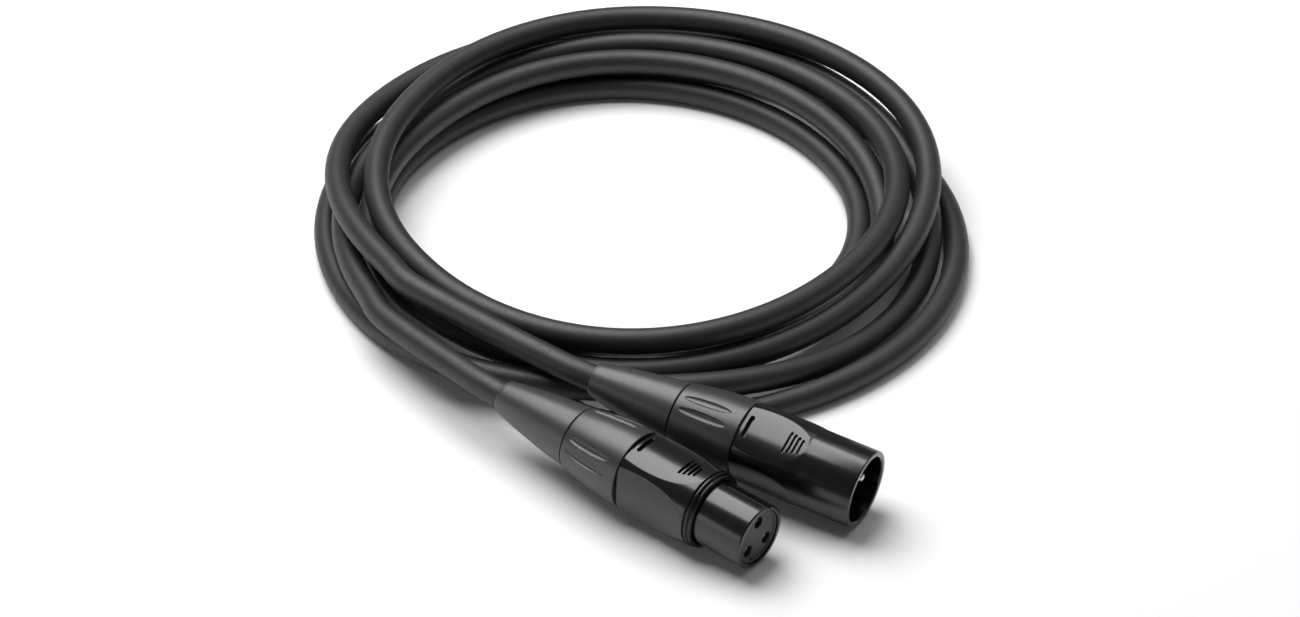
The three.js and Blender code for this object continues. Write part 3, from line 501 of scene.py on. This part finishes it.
def through(points, spacing):
    """A centripetal Catmull-Rom curve through the points."""
    points = [2 * points[0] - points[1], *points, 2 * points[-1] - points[-2]]
    curve = []
    for p0, p1, p2, p3 in zip(points, points[1:], points[2:], points[3:]):
        t0 = 0
        t1 = t0 + np.linalg.norm(p1 - p0) ** 0.5
        t2 = t1 + np.linalg.norm(p2 - p1) ** 0.5
        t3 = t2 + np.linalg.norm(p3 - p2) ** 0.5
        steps = max(1, int(np.linalg.norm(p2 - p1) / spacing))
        for t in np.linspace(t1, t2, steps, endpoint=False):
            a1 = ((t1 - t) * p0 + (t - t0) * p1) / (t1 - t0)
            a2 = ((t2 - t) * p1 + (t - t1) * p2) / (t2 - t1)
            a3 = ((t3 - t) * p2 + (t - t2) * p3) / (t3 - t2)
            b1 = ((t2 - t) * a1 + (t - t0) * a2) / (t2 - t0)
            b2 = ((t3 - t) * a2 + (t - t1) * a3) / (t3 - t1)
            curve.append(((t2 - t) * b1 + (t - t1) * b2) / (t2 - t1))
    curve.append(points[-2])
    return curve


def boot_mouth(end, beyond=0):
    """The place on the connector's axis that lies so far beyond its boot."""
    back = end["length"] + BUSHING_LENGTH + BOOT_LENGTH + beyond
    return np.array(connector_matrix(end) @ Vector((-back * MM, 0, 0))) / MM


def lead(end, coil_end, coil_next):
    """The free stretch from inside a boot to where the coil's winding takes over."""
    inward = (coil_end - coil_next) / np.linalg.norm(coil_end - coil_next)
    inside = [boot_mouth(end, beyond) for beyond in (-END_INSIDE_BOOT, 0, STRAIGHT_END / 2, STRAIGHT_END)]
    beside = [coil_end + inward * (2 * CORD_RADIUS + more) for more in (STRAIGHT_END, 0)]
    return through([*inside, *beside], LEAD_STEP)


def tube(name, route):
    """A round closed tube along the route, its sections carried along without twist, flat where it lies."""
    places = np.array(route)
    heading = np.gradient(places, axis=0)
    heading /= np.linalg.norm(heading, axis=1)[:, None]
    side = np.cross(heading[0], (0, 0, 1))
    angles = turned_angles(CORD_SIDES)
    vertices = []
    for place, along in zip(places, heading):
        side = side - along * np.dot(side, along)
        side /= np.linalg.norm(side)
        top = np.cross(side, along)
        vertices.extend(place + CORD_RADIUS * (math.cos(a) * side + math.sin(a) * top) for a in angles)
    vertices += [places[0], places[-1]]
    faces = ring_faces(len(places), CORD_SIDES, False)
    start, stop = len(vertices) - 2, len(vertices) - 1
    last = (len(places) - 1) * CORD_SIDES
    for j in range(CORD_SIDES):
        k = (j + 1) % CORD_SIDES
        faces.append((start, k, j))
        faces.append((stop, last + j, last + k))
    vertices = np.array(vertices)
    vertices[:, 2] = np.maximum(vertices[:, 2], 0)
    return mesh_piece(name, vertices, faces)


def add_cord():
    male = winding(MALE_ENTRY, MALE_OUT, MALE_UP)
    female = winding(FEMALE_ENTRY, FEMALE_OUT, FEMALE_UP)
    male_lead = lead(MALE, male[0], male[1])
    female_lead = lead(FEMALE, female[0], female[1])
    route = [*male_lead, *male, *fold(), *female[::-1], *female_lead[::-1]]
    cord = tube("cord", route)
    dress(cord, "jacket", "cable_coil", "cable_lead_male", "cable_lead_female")
    tuple(boot_mouth(MALE) * MM)


# ---------------------------------------------------------------- shells


def crest_height(end, back):
    """How high the middle of a pad lies: level from the rear, then up to just inside the waist at its tip."""
    rear = end["length"] - SEAT_GAP
    rear_height = SHELL_REAR_RADIUS - end["pad_depth"]
    rise = end["waist"] - PAD_TIP_DEPTH - rear_height
    return rear_height + rise * ((rear - back) / (rear - end["apex"])) ** PAD_CURVE


def crowned(end, radius, back):
    """The radius at every angle, with the pads taken off a round body."""
    angles = turned_angles()
    drop = CROWN_RADIUS - crest_height(end, back)
    flat = np.broadcast_to(np.asarray(radius, float), angles.shape)
    cut_away = flat
    for pad in range(PADS):
        turn = turn_from(angles, pad * TAU / PADS)
        crown = np.sqrt(CROWN_RADIUS ** 2 - (drop * np.sin(turn)) ** 2) - drop * np.cos(turn)
        crown = np.where(np.abs(turn) < PAD_REACH, crown, 2 * flat)
        cut_away = soft_min(cut_away, crown, PAD_EDGE)
    return cut_away


def finger_grooves(end):
    """The grooves on the upper pad as (centre, length, half width, depth): a row in front, and one behind."""
    front = [
        (end["first_groove"] - i * GROOVE_PITCH, length, GROOVE_HALF_WIDTH, GROOVE_DEPTH)
        for i, length in enumerate(end["grooves"])
    ]
    behind = end["length"] - SEAT_GAP - REAR_GROOVE_INSET
    return [*front, (behind, REAR_GROOVE_LENGTH, REAR_GROOVE_HALF_WIDTH, REAR_GROOVE_DEPTH)]


def grooved(end, radius, back, groove):
    """The radius at every angle, with what a round-ended groove takes away there."""
    centre, length, half_width, depth = groove
    angles = turned_angles()
    across = np.abs(np.sin(angles) * radius)
    past_end = np.maximum(across - (length / 2 - half_width), 0)
    outside = np.hypot(past_end, back - centre) - half_width
    inside = (1 - smoothstep(*GROOVE_EDGE, outside)) * (np.cos(angles) > 0)
    level_floor = (crest_height(end, centre) - depth) / np.maximum(np.cos(angles), 0.5)
    return radius + (np.minimum(level_floor, radius) - radius) * inside


def body_rows(end):
    """The swelling body with its crowned pads, and the finger grooves on the upper one."""
    front, rear = end["body_front"], end["length"] - SEAT_GAP
    rows = []
    for back in stations(front, rear - EDGE_LENGTH, ALONG):
        body = swell(back, front, rear, end["waist"], SHELL_REAR_RADIUS, SHELL_BULGE)
        radius = crowned(end, body, back)
        for groove in finger_grooves(end):
            centre, _, half_width, _ = groove
            if abs(back - centre) < 2 * half_width:
                radius = grooved(end, radius, back, groove)
        rows.append((radius, back))
    edge = softened([
        (SHELL_REAR_RADIUS, rear - EDGE_LENGTH), (SHELL_REAR_RADIUS, rear), (SEAM_RADIUS, rear),
    ], rounding=0.25)[1:]
    return rows + [(crowned(end, radius, back), back) for radius, back in edge]


def rear_rows(end, insert_end, front_bore):
    """From the seam over the spigot and back along the bores to the front."""
    length = end["length"]
    return [
        (SPIGOT_RADIUS, length - SEAT_GAP), (SPIGOT_RADIUS, length + SPIGOT_LENGTH),
        (REAR_BORE, length + SPIGOT_LENGTH), (REAR_BORE, insert_end), (front_bore, insert_end),
    ]


def keyed(radius, centre_degrees, half_width, level):
    """The radius with a flat-bottomed key or keyway at that angle."""
    turn = turn_from(turned_angles(), math.radians(centre_degrees))
    inside = (np.abs(np.sin(turn) * radius) < half_width) & (np.cos(turn) > 0)
    return np.where(inside, level, radius)


def male_shell():
    waist = MALE["waist"]
    step_front, step_rear = BARREL_LENGTH - BARREL_STEP, BARREL_LENGTH + BARREL_STEP
    barrel = softened([
        (BARREL_RIM_RADIUS, 0), (BARREL_RADIUS, 0), (BARREL_RADIUS, step_front), (waist, step_rear),
        (waist, MALE["body_front"]),
    ], rounding=0.3)[:-1]
    plain = [(radius, back) for radius, back in barrel if back <= CROWN_FRONT]
    step = [(crowned(MALE, radius, back), back) for radius, back in barrel if back > CROWN_FRONT]
    key = keyed(BARREL_BORE, MALE["hand"] * KEY_ANGLE, KEY_HALF_WIDTH, BARREL_BORE - KEY_HEIGHT)
    key_end = MATING_DEPTH - SEAT_GAP
    mouth = softened([
        (BARREL_BORE, BARREL_MOUTH_LENGTH), (BARREL_BORE, BARREL_MOUTH_EDGE),
        (BARREL_BORE + BARREL_MOUTH_EDGE, 0), (BARREL_RIM_RADIUS, 0),
    ], rounding=0.15)[:-1]
    rows = [
        *plain, *step, *body_rows(MALE),
        *rear_rows(MALE, MATING_DEPTH + INSERT_LENGTH + SEAT_GAP, BARREL_BORE),
        (BARREL_BORE, key_end), (key, key_end - KEY_STEP), (key, PIN_RECESS + KEY_STEP),
        (BARREL_BORE, PIN_RECESS), *mouth,
    ]
    shell = turned("male_shell_fine", rows, MALE)
    catch_half = HOOK_LENGTH / 2 + SEAT_GAP
    window = block(
        "catch", CATCH_BACK - catch_half, CATCH_BACK + catch_half, LATCH_HALF_WIDTH + SEAT_GAP,
        -BARREL_RADIUS - OVERRUN, -BARREL_BORE + OVERRUN, MALE)
    return cut(shell, [window])


def female_shell():
    half_keyway = KEY_HALF_WIDTH + MATING_CLEARANCE
    keyway = keyed(NOSE_RADIUS, FEMALE["hand"] * KEY_ANGLE, half_keyway, NOSE_RADIUS - KEY_HEIGHT)
    keyway_end = MATING_DEPTH - KEYWAY_SPARE
    face = softened([(NOSE_FACE_RADIUS, 0), (NOSE_RADIUS, 0), (NOSE_RADIUS, keyway_end)], rounding=0.5)[:-1]
    nose = [
        (NOSE_BORE + NOSE_MOUTH_EDGE, 0), *[(np.minimum(keyway, radius), back) for radius, back in face],
        (keyway, keyway_end - KEY_STEP), (NOSE_RADIUS, keyway_end), (NOSE_RADIUS, LIP_REAR),
        (LIP_BORE, LIP_REAR),
    ]
    lip, waist = FEMALE["body_front"], FEMALE["waist"]
    lip_edge = softened([(LIP_BORE, lip), (waist, lip), (waist, lip + LIP_EDGE)], rounding=0.25)[:-1]
    body = [(radius, back) for radius, back in body_rows(FEMALE) if back > lip + EDGE_LENGTH]
    rows = [
        *nose, *lip_edge, *body, *rear_rows(FEMALE, FEMALE_INSERT_REAR + SEAT_GAP, NOSE_BORE),
        (NOSE_BORE, NOSE_MOUTH_EDGE),
    ]
    shell = turned("female_shell_fine", rows, FEMALE)
    half_width = LATCH_HALF_WIDTH + SEAT_GAP
    inside = -NOSE_BORE + OVERRUN
    hook_slot = block(
        "slot", HOOK_FRONT - SEAT_GAP, HOOK_REAR + SEAT_GAP, half_width,
        -NOSE_RADIUS - OVERRUN, inside, FEMALE)
    window = block(
        "window", BUTTON_FRONT - SEAT_GAP, BUTTON_REAR + SEAT_GAP, half_width,
        -SHELL_REAR_RADIUS - OVERRUN, inside, FEMALE)
    return cut(shell, [hook_slot, window])


def collar_ring():
    """Two lips in front of the shell's lip, and a sleeve that goes back under it."""
    inner = NOSE_RADIUS + SEAT_GAP
    front, rear = NOSE_LENGTH, NOSE_LENGTH + COLLAR_LENGTH
    lips = [(radius, front + behind) for radius, behind in COLLAR_LIPS]
    lip_radius, lip_rear = COLLAR_LIPS[-1][0], FEMALE["body_front"] - SEAT_GAP
    sleeve = LIP_BORE - SEAT_GAP
    rows = softened([
        (inner, front), *lips, (lip_radius, lip_rear), (sleeve, lip_rear), (sleeve, rear), (inner, rear),
    ], rounding=0.2, steps=5)
    return turned("collar_ring_fine", rows, FEMALE, PLAIN_AROUND)


# ---------------------------------------------------------------- bushings and boots


def scooped(end, radius, along):
    """The radius at every angle, with what the pairs of lens-shaped grip scoops take away there."""
    depth = 0
    for group in range(GRIP_GROUPS):
        for side in (-0.5, 0.5):
            centre = math.radians(end["bushing_turn"] + group * 360 / GRIP_GROUPS + side * GRIP_SPACING)
            across = turn_from(turned_angles(), centre) * radius / GRIP_HALF_WIDTH
            depth = depth + GRIP_DEPTH * np.sqrt(np.maximum(0, 1 - along ** 2 - across ** 2))
    return radius - depth


def grip_bushing(end):
    front = end["length"]
    rear = front + BUSHING_LENGTH
    neck = front + SPIGOT_LENGTH + SEAT_GAP
    socket = SPIGOT_RADIUS + SEAT_GAP
    rows = softened([
        (BUSHING_RIM_RADIUS, front), (BUSHING_FRONT_RADIUS, front),
        (BUSHING_FRONT_RADIUS + BUSHING_FRONT_LEAN, front + FRONT_RUN),
    ], rounding=0.22)[:-1]
    for back in stations(front + BUSHING_WALL_INSET, rear - BUSHING_WALL_INSET, GRIP_ALONG):
        body = swell(back, front, rear, BUSHING_FRONT_RADIUS, BUSHING_REAR_RADIUS, BUSHING_BULGE)
        along = (back - (rear - GRIP_FROM_REAR)) / GRIP_HALF_LENGTH
        rows.append((scooped(end, body, along) if abs(along) < 1 else body, back))
    rows += softened([
        (BUSHING_REAR_RADIUS + REAR_LEAN, rear - EDGE_LENGTH), (BUSHING_REAR_RADIUS, rear),
        (BUSHING_BORE, rear), (BUSHING_BORE, neck), (socket, neck), (socket, front),
        (BUSHING_RIM_RADIUS, front),
    ], rounding=0.2)[:-1]
    return turned(end["name"] + "_bushing_fine", rows, end)


def strain_boot(end):
    shoulder = end["length"] + BUSHING_LENGTH + SEAT_GAP
    mouth = end["length"] + BUSHING_LENGTH + BOOT_LENGTH
    plug = BUSHING_BORE - SEAT_GAP
    plug_front = shoulder - BOOT_PLUG_LENGTH
    bore = CORD_RADIUS + BOOT_BORE_CLEARANCE
    start = BUSHING_REAR_RADIUS - BOOT_SHOULDER_INSET
    rows = softened([
        (bore, plug_front), (plug, plug_front), (plug, shoulder), (start, shoulder),
        (start + BOOT_SHOULDER_LEAN, shoulder + FRONT_RUN),
    ], rounding=0.22)[:-1]
    for back in stations(shoulder + BOOT_WALL_INSETS[0], mouth - BOOT_WALL_INSETS[1], BOOT_STEP):
        rows.append((swell(back, shoulder, mouth, start, BOOT_MOUTH_RADIUS, BOOT_BULGE), back))
    rows += softened([
        (BOOT_MOUTH_RADIUS + REAR_LEAN, mouth - BOOT_MOUTH_EDGE), (BOOT_MOUTH_RADIUS, mouth), (bore, mouth),
    ], rounding=0.3)
    return turned(end["name"] + "_boot_fine", rows, end, PLAIN_AROUND)


# ---------------------------------------------------------------- inserts, contacts, latch


def at_contact(piece, end, number):
    """Moves a piece from the connector's axis to a contact: 1 and 2 sit low at either side, 3 on top."""
    angle = math.radians(end["hand"] * (CONTACT_SPREAD, -CONTACT_SPREAD, 0)[number - 1])
    place = Vector((0, math.sin(angle), math.cos(angle))) * CONTACT_CIRCLE_RADIUS * MM
    piece.matrix_world = connector_matrix(end) @ Matrix.Translation(place)
    return piece


def contact_holes(end, profile):
    return [at_contact(turned_solid("hole", profile, end, HOLE_AROUND), end, number) for number in (1, 2, 3)]


def insert_body(end, radius, front, rear, rim, rounding):
    """A contact carrier without its holes, its face inside a raised rim."""
    width, slope, height = rim
    profile = softened([
        (radius - width - slope, front + height), (radius - width, front), (radius, front), (radius, rear),
        (radius - INSERT_BACK_EDGE, rear),
    ], rounding, steps=3)
    return turned_solid(end["name"] + "_insert_fine", profile, end, INSERT_AROUND)


def female_insert():
    front, rear = FEMALE_INSERT_FRONT, FEMALE_INSERT_REAR
    insert = insert_body(FEMALE, NOSE_BORE - SEAT_GAP / 2, front, rear, FEMALE_INSERT_RIM, rounding=0.12)
    hole = PIN_RADIUS + CONTACT_HOLE_CLEARANCE
    funnel = front + HOLE_FUNNEL_INSET
    room = SOCKET_RADIUS + SEAT_GAP
    holes = contact_holes(FEMALE, [
        (hole + HOLE_FUNNEL, -OVERRUN), (hole + HOLE_FUNNEL, funnel), (hole, funnel + HOLE_FUNNEL),
        (hole, SOCKET_RECESS), (room, SOCKET_RECESS), (room, rear + OVERRUN),
    ])
    channel = block(
        "channel", CHANNEL_FRONT, rear + OVERRUN, LATCH_HALF_WIDTH + SEAT_GAP,
        -NOSE_RADIUS - OVERRUN, -LATCH_INNER + LATCH_TRAVEL_ROOM, FEMALE)
    return cut(insert, [*holes, channel], INSERT_SHARP_DEGREES)


def female_socket(number):
    front = SOCKET_RECESS + SOCKET_FRONT_GAP
    bore = PIN_RADIUS + SOCKET_CLEARANCE
    wider, over = SOCKET_MOUTH
    cup_bottom = SOCKET_REAR - SOCKET_CUP_DEPTH
    rows = softened([
        (bore, SOCKET_BORE_END), (bore, front + over), (bore + wider, front), (SOCKET_RADIUS, front),
        (SOCKET_RADIUS, SOCKET_REAR), (SOCKET_CUP_BORE, SOCKET_REAR), (SOCKET_CUP_BORE, cup_bottom),
        (SOCKET_CORE, cup_bottom), (SOCKET_CORE, SOCKET_BORE_END),
    ], rounding=0.08, steps=2)
    return at_contact(turned(f"female_socket_{number}_fine", rows, FEMALE, HOLE_AROUND), FEMALE, number)


def male_insert():
    front, rear = MATING_DEPTH, MATING_DEPTH + INSERT_LENGTH
    insert = insert_body(MALE, BARREL_BORE - INSERT_GAP, front, rear, INSERT_RIM, rounding=0.15)
    hole = PIN_RADIUS + INSERT_GAP
    holes = contact_holes(MALE, [(hole, front - OVERRUN), (hole, rear + OVERRUN)])
    return cut(insert, holes, INSERT_SHARP_DEGREES)


def male_pin(number):
    tip = [(radius, PIN_RECESS + behind) for radius, behind in PIN_TIP]
    rows = softened([
        *tip, (PIN_RADIUS, PIN_REAR), (PIN_CUP_RADIUS, PIN_REAR), (PIN_CUP_RADIUS, PIN_CUP_REAR),
        (PIN_CUP_BORE, PIN_CUP_REAR),
    ], rounding=0.25)
    return at_contact(turned_solid(f"male_pin_{number}_fine", rows, MALE, PIN_AROUND), MALE, number)


def latch():
    hook_tip = -NOSE_RADIUS - HOOK_REACH
    ridges = []
    for i in range(RIDGES):
        middle = BUTTON_REAR - RIDGES_FROM_REAR - i * RIDGE_PITCH
        ridges += [
            (middle + RIDGE_HALF_WIDTH, -BUTTON_DROP), (middle, -BUTTON_DROP + RIDGE_DEPTH),
            (middle - RIDGE_HALF_WIDTH, -BUTTON_DROP),
        ]
    outline = [
        (HOOK_FRONT, -LATCH_INNER), (LATCH_PIVOT_BACK, -LATCH_INNER),
        (LATCH_PIVOT_BACK, -LATCH_OUTER + LATCH_REAR_TAPER), (BUTTON_REAR + BUTTON_ROOT, -LATCH_OUTER),
        (BUTTON_REAR, -LATCH_OUTER), (BUTTON_REAR, -BUTTON_DROP + BUTTON_CORNER),
        (BUTTON_REAR - BUTTON_CORNER, -BUTTON_DROP), *ridges, (BUTTON_FRONT + BUTTON_CORNER, -BUTTON_DROP),
        (BUTTON_FRONT, -BUTTON_DROP + BUTTON_CORNER), (BUTTON_FRONT, -LATCH_OUTER), (HOOK_REAR, -LATCH_OUTER),
        (HOOK_REAR, hook_tip), (HOOK_REAR - HOOK_TIP, hook_tip), (HOOK_FRONT, hook_tip + HOOK_RAMP),
    ]
    return side_plate("female_latch_fine", outline, LATCH_HALF_WIDTH, FEMALE, LATCH_ROUNDING)


# ---------------------------------------------------------------- materials

NOISE_SPAN = (0.3, 0.7)  # what a noise texture mostly stays between


class Nodes:
    """A material under construction."""

    def __init__(self, name):
        self.material = bpy.data.materials.new(name)
        self.material.use_nodes = True
        self.tree = self.material.node_tree
        self.shader = self.tree.nodes["Principled BSDF"]
        self.coordinates = self.add("ShaderNodeTexCoord")

    def add(self, kind):
        return self.tree.nodes.new(kind)

    def link(self, source, target):
        self.tree.links.new(source, target)

    def noise(self, scale, detail, roughness=0.55, stretch=None):
        node = self.add("ShaderNodeTexNoise")
        node.inputs["Scale"].default_value = scale
        node.inputs["Detail"].default_value = detail
        node.inputs["Roughness"].default_value = roughness
        source = self.coordinates.outputs["Object"]
        if stretch:
            mapping = self.add("ShaderNodeMapping")
            mapping.inputs["Scale"].default_value = stretch
            self.link(source, mapping.inputs["Vector"])
            source = mapping.outputs["Vector"]
        self.link(source, node.inputs["Vector"])
        return node.outputs["Fac"]

    def roughness(self, source, smooth, rough):
        node = self.add("ShaderNodeMapRange")
        node.inputs["From Min"].default_value, node.inputs["From Max"].default_value = NOISE_SPAN
        node.inputs["To Min"].default_value = smooth
        node.inputs["To Max"].default_value = rough
        self.link(source, node.inputs["Value"])
        self.link(node.outputs["Result"], self.shader.inputs["Roughness"])

    def colours(self, source, dark, light):
        ramp = self.add("ShaderNodeValToRGB")
        for element, position, colour in zip(ramp.color_ramp.elements, NOISE_SPAN, (dark, light)):
            element.position = position
            element.color = (*colour, 1)
        self.link(source, ramp.inputs["Fac"])
        self.link(ramp.outputs["Color"], self.shader.inputs["Base Color"])

    def bump(self, height, distance, strength):
        node = self.add("ShaderNodeBump")
        node.inputs["Distance"].default_value = distance * MM
        node.inputs["Strength"].default_value = strength
        self.link(height, node.inputs["Height"])
        self.link(node.outputs["Normal"], self.shader.inputs["Normal"])


def surface(name, dark, light, rough, grain, bump, specular=0.5, coat=0.0, coat_rough=0.2):
    """A moulded, coated or rubber surface: slow drift of tone, finer drift of gloss, and a fine grain."""
    nodes = Nodes(name)
    nodes.shader.inputs["Specular IOR Level"].default_value = specular
    nodes.shader.inputs["Coat Weight"].default_value = coat
    nodes.shader.inputs["Coat Roughness"].default_value = coat_rough
    nodes.colours(nodes.noise(140, 5), dark, light)
    nodes.roughness(nodes.noise(900, 3), *rough)
    nodes.bump(nodes.noise(grain, 3, 0.6), bump, 0.5)
    return nodes.material


def brushed(name, dark, light, rough):
    """A metal with fine scratches along the connector."""
    nodes = Nodes(name)
    nodes.shader.inputs["Metallic"].default_value = 1.0
    scratches = nodes.noise(700, 3, 0.6, (0.15, 6, 6))
    nodes.colours(scratches, dark, light)
    nodes.roughness(scratches, *rough)
    nodes.bump(scratches, 0.006, 0.4)
    return nodes.material


def grey(level):
    return (level, level, level * 1.03)


def core(name, dark, light):
    return surface(name, dark, light, (0.35, 0.45), 2500, 0.01)


def make_materials():
    return {
        "shell": surface(
            "satin black coating", grey(0.005), grey(0.007), (0.21, 0.23), 5200, 0.0002,
            specular=0.45, coat=0.3, coat_rough=0.14),
        "collar": surface(
            "smooth black ring", grey(0.004), grey(0.006), (0.24, 0.28), 4000, 0.001, specular=0.4),
        "insert": surface("black moulding", grey(0.018), grey(0.022), (0.42, 0.50), 3500, 0.004),
        "bushing": surface(
            "grained black nylon", grey(0.030), grey(0.036), (0.34, 0.38), 4200, 0.004, specular=0.65),
        "boot": surface(
            "matte black boot", grey(0.038), grey(0.044), (0.35, 0.39), 3800, 0.004, specular=0.62),
        "jacket": surface(
            "matte cord jacket", grey(0.011), grey(0.016), (0.47, 0.56), 2600, 0.008, specular=0.58),
        "clamp": surface("grey nylon", grey(0.27), grey(0.32), (0.45, 0.55), 3000, 0.02),
        "contact": brushed("silver plating", (0.66, 0.65, 0.62), (0.80, 0.79, 0.76), (0.22, 0.32)),
        "spring_steel": brushed("spring steel", (0.45, 0.45, 0.46), (0.60, 0.60, 0.61), (0.28, 0.40)),
        "wire_red": core("red core", (0.40, 0.02, 0.02), (0.48, 0.03, 0.03)),
        "wire_white": core("white core", (0.66, 0.65, 0.61), (0.73, 0.72, 0.68)),
        "wire_green": core("green core", (0.04, 0.18, 0.07), (0.05, 0.22, 0.09)),
    }


def dress(piece, slot, *nodes, body="root"):
    """Lets the piece ride on a body in place of CAD nodes, in the slot's material."""
    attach(piece, body)
    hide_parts(*nodes)
    paint(piece, slot)


def paint(piece, slot):
    piece.data.materials.clear()
    piece.data.materials.append(materials[slot])


# ---------------------------------------------------------------- light and floor

FLOOR_HALF_WIDTH = 3000
FLOOR_DROP = 0.2  # the floor lies this far under the plane that the cord lies on
FLOOR_GLOW = 0.02
FLOOR_COLOUR = (0.97, 0.97, 0.97, 1)
AMBIENT = 0.04
MIRRORED_WORLD = 0.07
LIT = (10, 0, 10)


def seen_only(tree, mirrored=1.0):
    """1 for what is seen directly or through glass, a share where it is mirrored, and 0 as falling light."""
    path = tree.nodes.new("ShaderNodeLightPath")
    share = tree.nodes.new("ShaderNodeMath")
    share.operation = "MULTIPLY"
    share.inputs[1].default_value = mirrored
    tree.links.new(path.outputs["Is Glossy Ray"], share.inputs[0])
    seen = share.outputs[0]
    for ray in ("Is Camera Ray", "Is Transmission Ray"):
        larger = tree.nodes.new("ShaderNodeMath")
        larger.operation = "MAXIMUM"
        tree.links.new(seen, larger.inputs[0])
        tree.links.new(path.outputs[ray], larger.inputs[1])
        seen = larger.outputs[0]
    return seen


def floor_material():
    """Pale and matte, with a faint glow where it is seen."""
    material = bpy.data.materials.new("pale floor")
    material.use_nodes = True
    tree = material.node_tree
    shader = tree.nodes["Principled BSDF"]
    shader.inputs["Base Color"].default_value = FLOOR_COLOUR
    shader.inputs["Roughness"].default_value = 0.9
    shader.inputs["Specular IOR Level"].default_value = 0.0
    scale = tree.nodes.new("ShaderNodeMath")
    scale.operation = "MULTIPLY"
    scale.inputs[1].default_value = FLOOR_GLOW
    glow = tree.nodes.new("ShaderNodeEmission")
    both = tree.nodes.new("ShaderNodeAddShader")
    tree.links.new(seen_only(tree), scale.inputs[0])
    tree.links.new(scale.outputs[0], glow.inputs["Strength"])
    tree.links.new(shader.outputs[0], both.inputs[0])
    tree.links.new(glow.outputs[0], both.inputs[1])
    tree.links.new(both.outputs[0], tree.nodes["Material Output"].inputs["Surface"])
    return material


def add_floor():
    half = FLOOR_HALF_WIDTH * MM
    corners = [(-half, -half, 0), (half, -half, 0), (half, half, 0), (-half, half, 0)]
    mesh = bpy.data.meshes.new("floor")
    mesh.from_pydata(corners, [], [(0, 1, 2, 3)])
    mesh.materials.append(floor_material())
    floor = bpy.data.objects.new("floor", mesh)
    floor.location.z = -FLOOR_DROP * MM
    bpy.context.collection.objects.link(floor)


def add_world():
    """White where it is seen, and dim as a light."""
    world = bpy.data.worlds.new("studio")
    bpy.context.scene.world = world
    world.use_nodes = True
    tree = world.node_tree
    background = tree.nodes["Background"]
    background.inputs["Color"].default_value = (1, 1, 1, 1)
    level = tree.nodes.new("ShaderNodeMapRange")
    level.inputs["To Min"].default_value = AMBIENT
    level.inputs["To Max"].default_value = 1.0
    tree.links.new(seen_only(tree, MIRRORED_WORLD), level.inputs["Value"])
    tree.links.new(level.outputs["Result"], background.inputs["Strength"])


def add_softbox(name, towards, distance, size, power, along):
    """A rectangular light that faces the object, its long side as near as can be to the given direction."""
    data = bpy.data.lights.new(name, "AREA")
    data.shape = "RECTANGLE"
    data.size, data.size_y = (side * MM for side in size)
    data.energy = power
    lamp = bpy.data.objects.new(name, data)
    back = Vector(towards).normalized()
    across = back.cross(Vector(along)).normalized()
    lengthwise = across.cross(back)
    turn = Matrix((lengthwise, across, back)).transposed().to_4x4()
    lamp.matrix_world = Matrix.Translation((Vector(LIT) + distance * back) * MM) @ turn
    bpy.context.collection.objects.link(lamp)


# ---------------------------------------------------------------- assembly

bpy.context.scene.view_settings.view_transform = "Standard"
add_camera()
materials = make_materials()
add_cord()

dress(male_shell(), "shell", "male_shell")
dress(female_shell(), "shell", "female_shell")
dress(collar_ring(), "collar", "female_collar_ring")
for end in (MALE, FEMALE):
    dress(grip_bushing(end), "bushing", end["name"] + "_bushing")
    dress(strain_boot(end), "boot", end["name"] + "_boot")
dress(female_insert(), "insert", "female_insert")
dress(male_insert(), "insert", "male_insert")
for number in (1, 2, 3):
    dress(female_socket(number), "contact", f"female_socket_{number}")
    dress(male_pin(number), "contact", f"male_pin_{number}")
dress(latch(), "shell", "female_latch", body="latch")

for entry in frame["record"]["subparts"]:
    paint(frame["nodes"][entry["node"]], entry["material_slot"])

add_floor()
add_world()
add_softbox("key", (-0.295, 0.385, 0.873), 1100, (1000, 880), power=15.5, along=(-0.61, -0.75, 0.14))
add_softbox("fill", (0.45, 0.35, 0.82), 1300, (1200, 1200), power=3.5, along=(0, 1, 0))
add_softbox("side", (-0.917, -0.369, 0.16), 1300, (900, 420), power=1.6, along=(0.37, -0.92, 0))
